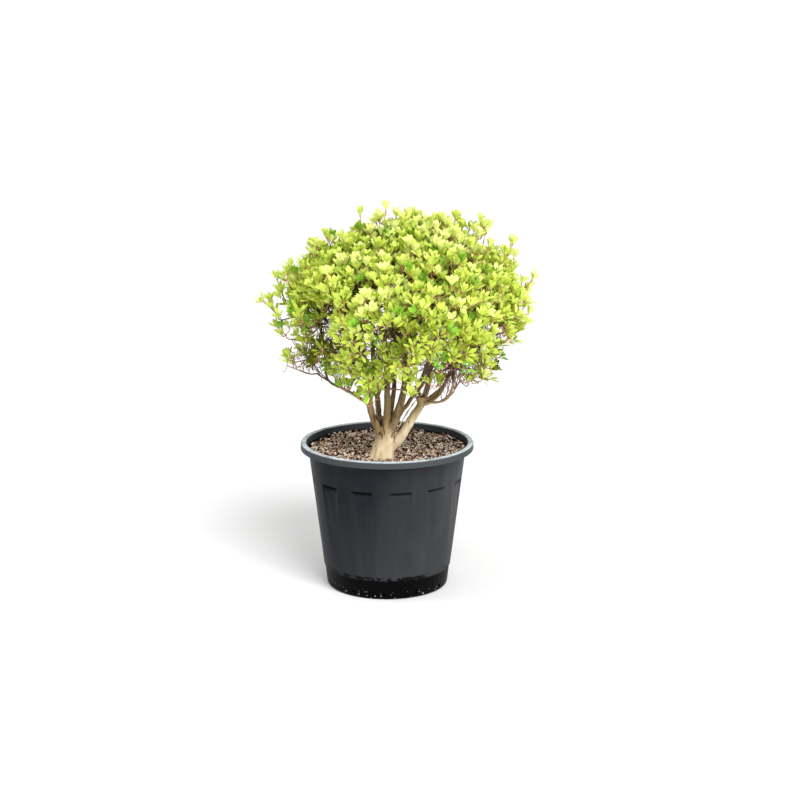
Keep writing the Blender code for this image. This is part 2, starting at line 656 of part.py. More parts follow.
class MassBuilder:
    """Grows one mass of foliage from the tip of its bough."""

    def __init__(self, name, masses, bough, limbs, material, attempt):
        self.name = name
        self.masses = masses
        self.bough = bough
        self.limbs = limbs
        self.root, self.heading = bough.tip()
        self.material = material
        self.dice = random.Random(f"{SEED} {name} {attempt}")
        self.leaves = LEAVES_PER_WHORL - attempt // 4
        self.roll = 0.0
        self.parts = []

    def clear(self, corners, samples):
        """True where a piece stays in the mass's own space and off every limb."""
        for corner in corners:
            if self.masses.clearance(self.name, corner) < CELL_CLEARANCE:
                return False
        for sample, radius in samples:
            beyond = sample - self.root
            if beyond.length < STEM_SHELTER and beyond.dot(self.heading) > radius:
                continue
            for centre, limb_radius in self.limbs:
                if (sample - centre).length < radius + limb_radius + LIMB_CLEARANCE:
                    return False
        return True

    def add_part(self, bm):
        """Keep a closed piece for the union."""
        self.parts.append(finish_object(f"{self.name}_part_{len(self.parts)}", bm, self.material))

    def add_twig(self, path, radii):
        """Add a three-sided twig along its path, as far as it stays clear; return its end."""
        clear_end = len(path)
        for i, (a, b) in enumerate(zip(path, path[1:])):
            steps = max(2, int((b - a).length / SAMPLE_PITCH))
            samples = [(a.lerp(b, step / steps), radii[i]) for step in range(steps + 1)]
            corners = [b + Vector(shift) * radii[i] for shift in AXIS_SHIFTS]
            if not self.clear(corners, samples):
                clear_end = i + 1
                break
        if clear_end < 2:
            return 0
        bm = bmesh.new()
        self.roll = self.dice.uniform(0, math.tau)
        add_tube(bm, path[:clear_end], radii[:clear_end], 3, roll=self.roll)
        self.add_part(bm)
        return clear_end

    def add_leaf(self, root, direction, upper_side):
        """Add one leaf, a flattened octahedron widest beyond its middle, or skip it."""
        length = LEAF_LENGTH * self.dice.uniform(*LEAF_RANGE)
        across = direction.cross(upper_side).normalized()
        face = across.cross(direction).normalized()
        widest = root + direction * (length * LEAF_WIDEST)
        corners = (
            root, root + direction * length,
            widest + across * (LEAF_WIDTH / 2), widest + face * (LEAF_THICKNESS / 2),
            widest - across * (LEAF_WIDTH / 2), widest - face * (LEAF_THICKNESS / 2),
        )
        samples = []
        for along in LEAF_SAMPLES_ALONG:
            half = LEAF_WIDTH / 2 * min(along / LEAF_WIDEST, (1 - along) / (1 - LEAF_WIDEST))
            for shift in LEAF_SAMPLES_ACROSS:
                place = root + direction * (length * along) + across * (shift * half)
                samples.append((place, LEAF_SKIN))
        if not self.clear(corners, samples):
            return False
        bm = bmesh.new()
        vertices = [bm.verts.new(corner) for corner in corners]
        ring = vertices[2:]
        for end in vertices[:2]:
            for i in range(4):
                bm.faces.new((end, ring[i], ring[(i + 1) % 4]))
        self.add_part(bm)
        return True

    def add_whorl(self, path):
        """Add the leaves of a twig's end, one through each of the twig's three sides."""
        axis = (path[-1] - path[-2]).normalized()
        turn = twig_turn(path)
        for leaf in range(self.leaves):
            angle = self.roll + math.tau * (leaf + 0.5) / 3
            angle += self.dice.uniform(-WHORL_TURN, WHORL_TURN)
            outward = turn @ Vector((math.cos(angle), math.sin(angle), 0))
            root = path[-1] - axis * self.dice.uniform(*LEAF_SUNK)
            for closed_up, twist in LEAF_POSES:
                spread = WHORL_SPREAD * self.dice.uniform(*WHORL_RANGE) * closed_up
                lean = axis * math.cos(spread) + outward * math.sin(spread)
                direction = (lean + Vector((0, 0, LEAF_LIFT))).normalized()
                upper_side = Quaternion(direction, twist) @ outward
                if self.add_leaf(root, direction, upper_side):
                    break

    def grow(self, start, heading, tips, radius):
        """Grow a twig to one of the tips; at each fork the other half of the tips branches off."""
        path = [start - heading * (radius / 2)]
        radii = [radius]
        branches = []
        here = start
        while len(tips) > 1:
            fork = here.lerp(mean(tips), FORK_REACH)
            onward = (fork - here).normalized()
            radius = max(TWIG_TIP_RADIUS, radius * RUN_TAPER)
            first, second = halves(tips)
            if (mean(second) - fork).angle(onward) < (mean(first) - fork).angle(onward):
                first, second = second, first
            path.append(fork)
            radii.append(radius)
            branches.append((fork, onward, second, max(TWIG_TIP_RADIUS, radius * BRANCH_TAPER)))
            here, tips = fork, first
        path.append(tips[0])
        radii.append(TWIG_TIP_RADIUS)
        reached = self.add_twig(path, radii)
        if reached == len(path):
            self.add_whorl(path)
        for i, branch in enumerate(branches):
            if i + 2 <= reached:
                self.grow(*branch)

    def build(self, tips):
        """Grow the mass and fuse it into one solid."""
        tip, direction = self.bough.tip()
        root = tip + direction * GAP
        collar = root + direction * STEM_COLLAR
        heading = (self.masses.centres[self.name] - collar).normalized()
        bm = bmesh.new()
        radius = min(STEM_RADIUS, self.bough.tip_radius)
        add_tube(bm, [root, collar, collar + heading * STEM_TURN], [radius] * 3, STEM_SIDES)
        stem = finish_object(self.name, bm, self.material)
        self.grow(collar - direction * radius, direction, tips, radius * FIRST_TWIG)
        fuse(stem, self.parts)
        return stem


def grow_mass(name, masses, bough, limbs, material, tips):
    """Grow a mass, and grow it again by other draws while its union is not one closed skin."""
    for attempt in range(ATTEMPTS):
        mass = MassBuilder(name, masses, bough, limbs, material, attempt).build(tips)
        if is_closed(mass.data):
            return
        if attempt < ATTEMPTS - 1:
            bpy.data.objects.remove(mass)


def fuse(stem, parts):
    """Join the parts to the stem with one Boolean union on their collection, and apply it."""
    group = bpy.data.collections.new(stem.name + "_parts")
    bpy.context.scene.collection.children.link(group)
    for part in parts:
        bpy.context.scene.collection.objects.unlink(part)
        group.objects.link(part)
    modifier = stem.modifiers.new("union", 'BOOLEAN')
    modifier.operation = 'UNION'
    modifier.solver = 'MANIFOLD'
    modifier.operand_type = 'COLLECTION'
    modifier.collection = group
    bpy.context.view_layer.update()
    depsgraph = bpy.context.evaluated_depsgraph_get()
    joined = bpy.data.meshes.new_from_object(stem.evaluated_get(depsgraph))
    stem.modifiers.clear()
    stem.data = joined
    for part in parts:
        bpy.data.objects.remove(part)
    bpy.data.collections.remove(group)
    keep_outer_shell(joined)


def shells_of(bm):
    """Groups of linked vertices, the largest last."""
    unseen = set(bm.verts)
    shells = []
    while unseen:
        shell = [unseen.pop()]
        for vertex in shell:
            for link in vertex.link_edges:
                other = link.other_vert(vertex)
                if other in unseen:
                    unseen.remove(other)
                    shell.append(other)
        shells.append(shell)
    return sorted(shells, key=len)


def keep_outer_shell(mesh):
    """Weld slivers, then drop loose scraps and the skins of sealed hollows."""
    bm = bmesh.new()
    bm.from_mesh(mesh)
    bmesh.ops.remove_doubles(bm, verts=bm.verts, dist=WELD)
    bmesh.ops.dissolve_degenerate(bm, edges=bm.edges, dist=WELD)
    scraps = [vertex for shell in shells_of(bm)[:-1] for vertex in shell]
    bmesh.ops.delete(bm, geom=scraps, context='VERTS')
    bmesh.ops.triangulate(bm, faces=bm.faces)
    bm.to_mesh(mesh)
    bm.free()


def is_closed(mesh):
    """True where a mesh is one skin and every edge of it has exactly two faces."""
    bm = bmesh.new()
    bm.from_mesh(mesh)
    closed = len(shells_of(bm)) == 1
    closed = closed and all(len(edge.link_faces) == 2 for edge in bm.edges)
    closed = closed and all(vertex.is_manifold for vertex in bm.verts)
    bm.free()
    return closed


def main():
    clear_scene()
    black = plain_material("black_plastic", (0.045, 0.048, 0.052), 0.45)
    compost = plain_material("bark_compost", (0.10, 0.065, 0.042), 0.95)
    bark = plain_material("bark", (0.52, 0.42, 0.28), 0.85)
    foliage = plain_material("leaves", (0.42, 0.65, 0.12), 0.55)

    make_pot(black)
    make_soil(compost)
    finish_object("trunk", trunk_mesh(0.0), bark)

    masses = Masses()
    cutters = {"trunk": as_cutter(finish_object("trunk_cutter", trunk_mesh(GAP), None))}
    limbs = []
    boughs = {}
    for bough in BOUGHS:
        bough.lay(masses)
        piece = finish_object(bough.name, bough.mesh(), bark)
        for name in bough.cut_by:
            cut(piece, cutters[name])
        cutters[bough.name] = as_cutter(
            finish_object(bough.name + "_cutter", bough.mesh(GAP), None)
        )
        for a, b, radius in zip(bough.path, bough.path[1:], bough.radii):
            steps = max(2, int((b - a).length / SAMPLE_PITCH))
            limbs.extend((a.lerp(b, step / steps), radius) for step in range(steps))
        if bough.mass:
            boughs[bough.mass] = bough

    for name, tips in crown_tips(masses).items():
        grow_mass(name, masses, boughs[name], limbs, foliage, tips)


main()
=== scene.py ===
# %% [markdown]
# # A potted enkianthus
# The real thing is a garden shrub of about a metre, pot included. Pale stems rise from one short
# trunk, every upright shoot ends in a whorl of young leaves, and the plant stands in bark compost
# in a black moulded nursery pot.
#
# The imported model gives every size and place, so it is loaded first and nothing is fitted later.
# Its solids are plain. Each finer piece below takes the place of the solids that it stands for.

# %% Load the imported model
import math
import random

import bmesh
import bpy
import numpy as np
from mathutils import Matrix, Vector, noise


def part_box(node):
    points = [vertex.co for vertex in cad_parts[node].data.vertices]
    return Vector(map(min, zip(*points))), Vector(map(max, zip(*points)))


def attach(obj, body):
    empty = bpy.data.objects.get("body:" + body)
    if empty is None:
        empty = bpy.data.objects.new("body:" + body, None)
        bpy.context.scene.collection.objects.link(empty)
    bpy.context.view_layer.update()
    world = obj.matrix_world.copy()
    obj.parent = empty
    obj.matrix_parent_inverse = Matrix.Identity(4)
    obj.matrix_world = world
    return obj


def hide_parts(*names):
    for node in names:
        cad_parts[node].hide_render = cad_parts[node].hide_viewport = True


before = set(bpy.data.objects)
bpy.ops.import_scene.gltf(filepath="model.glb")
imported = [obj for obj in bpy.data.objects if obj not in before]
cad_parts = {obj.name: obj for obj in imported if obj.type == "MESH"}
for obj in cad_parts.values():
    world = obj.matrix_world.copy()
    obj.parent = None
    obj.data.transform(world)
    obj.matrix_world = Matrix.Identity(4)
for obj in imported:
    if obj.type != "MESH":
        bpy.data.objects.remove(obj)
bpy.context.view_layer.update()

pot_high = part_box("pot")[1]
soil_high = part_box("soil")[1]
trunk_low, trunk_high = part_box("trunk")
MASS_NODES = sorted(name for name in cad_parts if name.startswith("mass_"))
LIMB_NODES = sorted(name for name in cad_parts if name.startswith("bough_"))
print("frame:", len(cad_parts), "nodes, pot", round(pot_high.z * 1000), "mm high")

# %% [markdown]
# ## Camera
# A long lens from a little above the plant keeps the pot's rim a narrow ellipse, as the eye sees
# it from a few metres away. The focal length is given in pixels of the square picture, because
# that is how it is measured, and Blender wants it in millimetres of its 36 mm sensor.

# %% Camera
IMAGE_SIDE = 800
FOCAL_PIXELS = 1747.4
SENSOR_WIDTH = 36.0
CAMERA_PLACE = (0.0343, -4.5, 1.5257)
CAMERA_PITCH = 0.2242


def put_in_scene(name, data):
    """A new object that shows some data, linked to the scene."""
    thing = bpy.data.objects.new(name, data)
    bpy.context.scene.collection.objects.link(thing)
    return thing


lens_data = bpy.data.cameras.new("front_view")
lens_data.sensor_width = SENSOR_WIDTH
lens_data.lens = FOCAL_PIXELS / IMAGE_SIDE * SENSOR_WIDTH
camera = put_in_scene("front_view", lens_data)
camera.location = CAMERA_PLACE
camera.rotation_euler = (math.pi / 2 - CAMERA_PITCH, 0, 0)
bpy.context.scene.camera = camera
print("camera: lens", round(lens_data.lens, 1), "mm")

# %% [markdown]
# ## Light
# Leaves look fresh under a bright, hazy sky. A pale world lights every side, and a very soft sun
# from high on the right keeps the tops of the leaves brightest and the inside of the crown dark.
# Two area lamps are there for the black plastic: the right one lies softly on the pot's wall, and
# the left one lights the rim.

# %% Light
WORLD_COLOUR = (1.0, 1.0, 1.0)
WORLD_STRENGTH = 0.72
SUN_STRENGTH = 1.95
SUN_WIDTH = math.radians(26)
SUN_FROM = (0.42, -1.05, 1.40)
LAMPS = {
    "right_lamp": {"place": (1.5, -1.9, 0.9), "size": 0.7, "power": 22},
    "left_lamp": {"place": (-1.4, -0.3, 1.9), "size": 0.6, "power": 8},
}
LAMP_AIM = (0.0, 0.0, 0.3)


def set_world():
    """One pale colour from all around."""
    world = bpy.data.worlds.new("pale_sky")
    world.use_nodes = True
    background = world.node_tree.nodes["Background"]
    background.inputs["Color"].default_value = (*WORLD_COLOUR, 1)
    background.inputs["Strength"].default_value = WORLD_STRENGTH
    bpy.context.scene.world = world


def add_light(name, kind, power, place, aim=(0, 0, 0)):
    """A light at a place that looks at a point; its data is returned."""
    data = bpy.data.lights.new(name, kind)
    data.energy = power
    light = put_in_scene(name, data)
    light.location = place
    light.rotation_euler = (Vector(aim) - Vector(place)).to_track_quat('-Z', 'Y').to_euler()
    return data


set_world()
add_light("hazy_sun", 'SUN', SUN_STRENGTH, SUN_FROM).angle = SUN_WIDTH
for name, lamp in LAMPS.items():
    add_light(name, 'AREA', lamp["power"], lamp["place"], LAMP_AIM).size = lamp["size"]
bpy.context.scene.view_settings.view_transform = 'Standard'
print("light: a sun and", len(LAMPS), "lamps")

# %% [markdown]
# ## Floor
# The plant is shown on a plain pale floor, a flat square that isn't part of the plant. Behind a
# flat floor the world's colour would show as a strip, so the far edge is extruded upwards as a
# backdrop of the same finish.

# %% Floor
FLOOR_HALF = 120.0
BACKDROP_HEIGHT = 12.0
FLOOR_COLOUR = (0.86, 0.86, 0.86)


def new_material(name, roughness, specular=0.5, colour=(0.5, 0.5, 0.5)):
    """A Principled material; its graph and its shader are what the finishes build on."""
    material = bpy.data.materials.new(name)
    material.use_nodes = True
    tree = material.node_tree
    shader = tree.nodes["Principled BSDF"]
    shader.inputs["Base Color"].default_value = (*colour, 1)
    shader.inputs["Roughness"].default_value = roughness
    shader.inputs["Specular IOR Level"].default_value = specular
    return material, tree, shader


def add_floor():
    """A square with its far edge extruded upwards."""
    bm = bmesh.new()
    bmesh.ops.create_grid(bm, x_segments=1, y_segments=1, size=FLOOR_HALF)
    far_edge = [edge for edge in bm.edges if all(vertex.co.y > 0 for vertex in edge.verts)]
    raised = bmesh.ops.extrude_edge_only(bm, edges=far_edge)["geom"]
    upper = [item for item in raised if isinstance(item, bmesh.types.BMVert)]
    bmesh.ops.translate(bm, verts=upper, vec=(0, 0, BACKDROP_HEIGHT))
    mesh = bpy.data.meshes.new("floor")
    bm.to_mesh(mesh)
    bm.free()
    mesh.materials.append(new_material("pale_floor", roughness=0.9, colour=FLOOR_COLOUR)[0])
    put_in_scene("floor", mesh)


add_floor()
print("floor:", round(2 * FLOOR_HALF), "m wide")

# %% [markdown]
# ## Shader helpers
# A material in Blender is a small graph. Writing it out call by call hides what it does, so one
# helper adds a node with its values and its links, and the others mix colours by a mask, lay
# colours over each other, and multiply masks or turn them round.

# %% Shader helpers
MIX_FIRST, MIX_SECOND, MIX_RESULT = 6, 7, 2


def add_node(tree, kind, values=None, links=None, **options):
    """Add a node, set its options, its plain values and its links, and return it."""
    node = tree.nodes.new(kind)
    for name, value in options.items():
        setattr(node, name, value)
    for name, value in (values or {}).items():
        node.inputs[name].default_value = value
    for name, output in (links or {}).items():
        tree.links.new(output, node.inputs[name])
    return node


def mix_colours(tree, mask, first, second):
    """Colour that goes from first to second as the mask goes from 0 to 1."""
    mix = tree.nodes.new("ShaderNodeMix")
    mix.data_type = 'RGBA'
    tree.links.new(mask, mix.inputs["Factor"])
    for slot, colour in ((MIX_FIRST, first), (MIX_SECOND, second)):
        if isinstance(colour, tuple):
            mix.inputs[slot].default_value = (*colour, 1)
        else:
            tree.links.new(colour, mix.inputs[slot])
    return mix.outputs[MIX_RESULT]


def lay_over(tree, colour, layers):
    """Lay colours over a first one: layers are (mask, colour), each on top of the one before."""
    for mask, upper in layers:
        colour = mix_colours(tree, mask, colour, upper)
    return colour


def combine(tree, operation, first, second):
    """The value that a maths operation makes of two values."""
    node = add_node(tree, "ShaderNodeMath", links={0: first, 1: second}, operation=operation)
    return node.outputs[0]


def product(tree, *masks):
    """Masks multiplied with each other."""
    result = masks[0]
    for mask in masks[1:]:
        result = combine(tree, 'MULTIPLY', result, mask)
    return result


def inverse(tree, mask):
    """A mask turned round."""
    return add_node(tree, "ShaderNodeMath", {0: 1.0}, {1: mask}, operation='SUBTRACT').outputs[0]


print("shader helpers: ready")

# %% [markdown]
# ## Shared effects
# Old plastic, bark, bark chips and leaves all need soft patches of two tones, small round specks
# and, on what faces up, dust with a painted reflection of the sky. Each effect is a node group,
# built once and placed in every material with its own values. The groups put out masks only, so
# colours stay where they can be read.
#
# All patterns read object coordinates. Every mesh has its place in its vertices, so the pattern
# of one piece goes on over its neighbour. A Stretch under 1 draws a pattern out along Z, as the
# streaks on a wall and the fibres of bark are drawn out.

# %% Parts of a group
def new_group(name, **inputs):
    """A shader node group with named float inputs and a mask to put out."""
    group = bpy.data.node_groups.new(name, "ShaderNodeTree")
    for label, value in inputs.items():
        socket = group.interface.new_socket(
            name=label, in_out='INPUT', socket_type="NodeSocketFloat")
        socket.default_value = value
    group.interface.new_socket(name="Mask", in_out='OUTPUT', socket_type="NodeSocketFloat")
    return group, group.nodes.new("NodeGroupInput").outputs


def put_out(group, mask):
    """Let the group put out this mask, and return the group."""
    group.links.new(mask, group.nodes.new("NodeGroupOutput").inputs["Mask"])
    return group


def stretched_place(group, stretch):
    """Object coordinates with Z multiplied by the stretch."""
    place = add_node(group, "ShaderNodeTexCoord").outputs["Object"]
    factors = add_node(group, "ShaderNodeCombineXYZ", {0: 1.0, 1: 1.0}, {2: stretch}).outputs[0]
    node = add_node(
        group, "ShaderNodeVectorMath", links={0: place, 1: factors}, operation='MULTIPLY')
    return node.outputs[0]


def ramp(group, value, low, high, first=0.0, last=1.0):
    """A value that goes from first to last as another one goes from low to high."""
    node = add_node(
        group, "ShaderNodeMapRange", {"To Min": first, "To Max": last},
        {"Value": value, "From Min": low, "From Max": high})
    return node.outputs[0]


print("group helpers: ready")

# %% [markdown]
# Patches are plain noise with its contrast raised between two values: close together they give
# hard-edged spots, far apart a soft mottle. Specks need round shapes, so they are the nearest
# parts of Voronoi cells, and the cells' random colours choose which of them show.

# %% Patches and specks
def make_patches():
    """Soft patches: noise that rises from 0 to 1 between Low and High."""
    group, given = new_group("patches", Scale=20.0, Stretch=1.0, Low=0.4, High=0.6)
    texture = add_node(
        group, "ShaderNodeTexNoise", {"Detail": 5.0, "Roughness": 0.6},
        {"Vector": stretched_place(group, given["Stretch"]), "Scale": given["Scale"]})
    return put_out(group, ramp(group, texture.outputs["Fac"], given["Low"], given["High"]))


def make_specks():
    """Small round specks: 1 within Size of a cell's point, thinned out by Share."""
    group, given = new_group("specks", Scale=200.0, Stretch=1.0, Size=0.25, Share=0.3)
    cells = add_node(
        group, "ShaderNodeTexVoronoi",
        links={"Vector": stretched_place(group, given["Stretch"]), "Scale": given["Scale"]})
    near = combine(group, 'LESS_THAN', cells.outputs["Distance"], given["Size"])
    tone = add_node(group, "ShaderNodeSeparateColor", links={0: cells.outputs["Color"]})
    chosen = combine(group, 'LESS_THAN', tone.outputs[0], given["Share"])
    return put_out(group, product(group, near, chosen))


print("patches and specks: ready")

# %% [markdown]
# Dust, and a painted reflection of the sky, lie on what looks up, which the Z of the surface's
# normal tells. Painted shade at the pot's foot, mud and the lip's painted light have a height, so a
# band compares the Z of the object's coordinates with an edge, and can lean to one side, as the
# painted light on the pot's right side does.

# %% Upward faces and height bands
def make_upward():
    """1 on faces that look up, falling to 0 as they turn away."""
    group, given = new_group("upward", Low=0.5, High=0.95)
    facing = add_node(group, "ShaderNodeNewGeometry").outputs["Normal"]
    axes = add_node(group, "ShaderNodeSeparateXYZ", links={0: facing}).outputs
    return put_out(group, ramp(group, axes["Z"], given["Low"], given["High"]))


def make_height_band():
    """1 below the height Edge, falling to 0 over Fade above it; Lean tips it along X."""
    group, given = new_group("height_band", Edge=0.05, Fade=0.01, Lean=0.0)
    place = add_node(group, "ShaderNodeTexCoord").outputs["Object"]
    axes = add_node(group, "ShaderNodeSeparateXYZ", links={0: place}).outputs
    height = combine(group, 'SUBTRACT', axes["Z"], product(group, axes["X"], given["Lean"]))
    top = combine(group, 'ADD', given["Edge"], given["Fade"])
    return put_out(group, ramp(group, height, given["Edge"], top, first=1.0, last=0.0))


EFFECTS = {
    "patches": make_patches(), "specks": make_specks(), "upward": make_upward(),
    "height_band": make_height_band(),
}
print("effects:", ", ".join(EFFECTS))

# %% [markdown]
# A material places the effects with its own values. Fine relief, too small to model, comes from
# Bump nodes in a row, each one building on the normal of the one before.

# %% Effects in a material
def mask_of(tree, effect, **values):
    """Place a shared effect in a material with its own values, and return its mask."""
    node = tree.nodes.new("ShaderNodeGroup")
    node.node_tree = EFFECTS[effect]
    for name, value in values.items():
        node.inputs[name].default_value = value
    return node.outputs["Mask"]


def add_relief(tree, shader, layers):
    """Bump the surface: layers are (mask, depth in metres), each on top of the one before."""
    normal = None
    for mask, depth in layers:
        links = {"Height": mask}
        if normal:
            links["Normal"] = normal
        bump = add_node(tree, "ShaderNodeBump", {"Distance": depth}, links)
        normal = bump.outputs["Normal"]
    tree.links.new(normal, shader.inputs["Normal"])


def mottled(name, roughness, specular, colours, patches, relief):
    """A finish of two colours in patches, which also stand out as a little relief."""
    material, tree, shader = new_material(name, roughness, specular)
    mask = mask_of(tree, "patches", **patches)
    tree.links.new(mix_colours(tree, mask, *colours), shader.inputs["Base Color"])
    add_relief(tree, shader, ((mask, relief),))
    return material


print("material helpers: ready")

# %% [markdown]
# ## Finishing a piece
# Every new piece needs the same last steps: a mesh in the scene, a material, a body to ride on,
# and the list of plain solids that it stands for.

# %% Finishing a piece
SHARP_ANGLE = math.radians(50)


def object_from(bm, name, material):
    """Turn a bmesh into an object at the origin, shaded smooth but for its sharp edges."""
    mesh = bpy.data.meshes.new(name)
    bm.to_mesh(mesh)
    bm.free()
    mesh.shade_smooth()
    mesh.set_sharp_from_angle(angle=SHARP_ANGLE)
    mesh.materials.append(material)
    return put_in_scene(name, mesh)


def finish_piece(piece, nodes=()):
    """Let a piece ride on the plant's one body and stand for its solids."""
    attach(piece, "root")
    if nodes:
        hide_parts(*nodes)
    mesh = piece.data
    print(piece.name, len(mesh.loops) - 2 * len(mesh.polygons), "triangles")


print("finishing: ready")

# %% [markdown]
# ## The pot
# The pot is one thin moulding. A lathe makes such a shape: one outline, from the middle of the
# underside up the wall, over the lip and down the inside, is spun round the axis. Its corners
# are small curves, because a moulded edge is never sharp and the light shows that.
#
# The twelve panels aren't round, so the lathe can't make them. They need columns of vertices
# close together at their edges and few between. So only one twelfth is spun, in stretches of
# different steps, and that sector is then spun on as copies.

# %% The pot's sizes
RIM_RADIUS = 0.230
POT_HEIGHT = pot_high.z
LIP_DEPTH = 0.0185
LIP_LOW = POT_HEIGHT - LIP_DEPTH
LIP_INNER_RADIUS = 0.2140
WALL_TOP_RADIUS = 0.2090
WALL_FOOT_RADIUS = 0.1695
WALL_THICKNESS = 0.0032
FLOOR_THICKNESS = 0.0040
FOOT_BAND_HEIGHT = 0.055
FOOT_BAND_INSET = 0.0025
FOOT_TAPER = 0.006
FOOT_ROUNDING = 0.009
BAND_ROUNDING = 0.0012
UNDERSIDE_RING = 0.100
PANEL_TOP = 0.3000
PANEL_STEP = 0.0012
WALL_ROW = 0.010
PANEL_TOP_ROW = 0.0015
UPPER_ROW = 0.008


def wall_radius(height):
    """Outer radius of the plain wall between its panels."""
    share = (height - FOOT_BAND_HEIGHT) / (LIP_LOW - FOOT_BAND_HEIGHT)
    return WALL_FOOT_RADIUS + share * (WALL_TOP_RADIUS - WALL_FOOT_RADIUS)


print("pot wall:", round(1000 * wall_radius(PANEL_TOP), 1), "mm from the axis at the panels' tops")

# %% [markdown]
# The outline is a list of corners with a rounding each. The wall's rows of points lie close
# together where the panels' tops will be pressed in, and evenly elsewhere.

# %% The pot's outline
def bend_through(start, elbow, end, shares):
    """Points at some shares of a curve that sets out for the elbow and turns to the end."""
    return [start.lerp(elbow, t).lerp(elbow.lerp(end, t), t) for t in shares]


def round_corners(corners, steps=5):
    """Outline through corners (radius, height, rounding), each rounded one a short curve."""
    outline = []
    for i, (radius, height, rounding) in enumerate(corners):
        here = Vector((radius, height))
        if not rounding:
            outline.append(here)
            continue
        before = Vector(corners[i - 1][:2])
        after = Vector(corners[i + 1][:2])
        first = here + (before - here).normalized() * rounding
        last = here + (after - here).normalized() * rounding
        outline += bend_through(first, here, last, [step / steps for step in range(steps + 1)])
    return outline


def wall_rows():
    """Heights of the wall's rows: even on the plain wall, close together at the panels' tops."""
    even = [FOOT_BAND_HEIGHT + WALL_ROW * i for i in range(1, 24)]
    close = [PANEL_TOP - PANEL_TOP_ROW * i for i in (5, 4, 3, 2)]
    close += [PANEL_TOP + PANEL_STEP * (i / 4 - 1.25) for i in range(7)]
    above = [PANEL_TOP + UPPER_ROW * i for i in range(1, 8)]
    return even + close + above


def pot_outline():
    """The pot's half section, from the underside's middle to the inside floor's middle."""
    band_top = WALL_FOOT_RADIUS - FOOT_BAND_INSET
    band_foot = band_top - FOOT_TAPER
    outside = [
        (0.0, 0.0, 0), (UNDERSIDE_RING, 0.0, 0), (band_foot, 0.0, FOOT_ROUNDING),
        (band_top, FOOT_BAND_HEIGHT - FOOT_BAND_INSET, BAND_ROUNDING),
        (WALL_FOOT_RADIUS, FOOT_BAND_HEIGHT, BAND_ROUNDING),
    ]
    outside += [(wall_radius(height), height, 0) for height in wall_rows()]
    lip = [
        (WALL_TOP_RADIUS, LIP_LOW, 0.0015), (RIM_RADIUS - 0.0005, LIP_LOW, 0.0022),
        (RIM_RADIUS - 0.0008, POT_HEIGHT, 0.0055), (LIP_INNER_RADIUS, POT_HEIGHT, 0.0045),
        (LIP_INNER_RADIUS - 0.0005, LIP_LOW - 0.004, 0.0015),
    ]
    inside = [
        (wall_radius(height) - WALL_THICKNESS, height, 0) for height in reversed(wall_rows())
    ]
    inside += [
        (band_foot - WALL_THICKNESS, FLOOR_THICKNESS, 0.006), (0.0, FLOOR_THICKNESS, 0),
    ]
    return round_corners(outside + lip + inside)


outline = pot_outline()
print("pot outline:", len(outline), "points")

# %% [markdown]
# The sector's stretches are given as an angle and a number of steps. The two stretches across a
# panel's sides are fine, because the side's small slope has to fall on several columns. The
# panels are pressed in afterwards, by moving the wall's points inwards.

# %% Spin the pot
PANEL_COUNT = 12
PANEL_PITCH = math.tau / PANEL_COUNT
PANEL_PHASE = math.radians(-79.3)
PANEL_HALF_WIDTH = math.radians(8.8)
PANEL_SIDE = math.radians(1.9)
PANEL_SIDE_SPREAD = 4
PANEL_FADE = 0.085
PANEL_DEPTH = 0.0032
POCKET_DEPTH = 0.0100
POCKET_HEIGHT = 0.0090
SECTOR_STRETCHES = ((5.6, 4), (2.4, 10), (14.0, 10), (2.4, 10), (5.6, 4))


def smooth_step(value):
    """0 below 0, 1 above 1, and an S curve between."""
    value = min(1.0, max(0.0, value))
    return value * value * (3 - 2 * value)


def spin_sector(bm):
    """One twelfth of the pot: the outline spun in stretches of different steps."""
    start = bmesh.ops.create_vert
    corners = [start(bm, co=(point.x, 0, point.y))["vert"][0] for point in outline]
    swept = [bm.edges.new(pair) for pair in zip(corners, corners[1:])]
    turn = Matrix.Rotation(PANEL_PHASE - PANEL_PITCH / 2, 3, 'Z')
    bmesh.ops.rotate(bm, cent=(0, 0, 0), matrix=turn, verts=bm.verts)
    swept += corners
    for angle, steps in SECTOR_STRETCHES:
        result = bmesh.ops.spin(
            bm, geom=swept, cent=(0, 0, 0), axis=(0, 0, 1), angle=math.radians(angle),
            steps=steps)
        swept = result["geom_last"]


def panel_depth(angle, height):
    """Depth of the panels: abrupt at the top, where a pocket is, fading out to the foot."""
    offset = (angle - PANEL_PHASE + PANEL_PITCH / 2) % PANEL_PITCH
    inside = PANEL_HALF_WIDTH - abs(offset - PANEL_PITCH / 2)
    share = (height - PANEL_FADE) / (PANEL_TOP - PANEL_FADE)
    pocket = POCKET_DEPTH * min(1.0, 2 - 2 * (PANEL_TOP - height) / POCKET_HEIGHT)
    side = PANEL_SIDE * (1 + PANEL_SIDE_SPREAD * (1 - share))
    edges = smooth_step(inside / side) * smooth_step((PANEL_TOP - height) / PANEL_STEP)
    return (PANEL_DEPTH * share + max(0.0, pocket)) * edges


def press_panels(bm):
    """Press the panels into the wall."""
    for vertex in bm.verts:
        x, y, z = vertex.co
        if PANEL_FADE < z < PANEL_TOP:
            radius = math.hypot(x, y)
            depth = panel_depth(math.atan2(y, x), z)
            vertex.co.x -= x / radius * depth
            vertex.co.y -= y / radius * depth


def spin_pot():
    """The whole pot as a bmesh."""
    bm = bmesh.new()
    spin_sector(bm)
    sector = bm.verts[:] + bm.edges[:] + bm.faces[:]
    bmesh.ops.spin(
        bm, geom=sector, cent=(0, 0, 0), axis=(0, 0, 1), angle=math.tau - PANEL_PITCH,
        steps=PANEL_COUNT - 1, use_duplicate=True)
    bmesh.ops.remove_doubles(bm, verts=bm.verts, dist=0.00002)
    press_panels(bm)
    bmesh.ops.recalc_face_normals(bm, faces=bm.faces)
    return bm


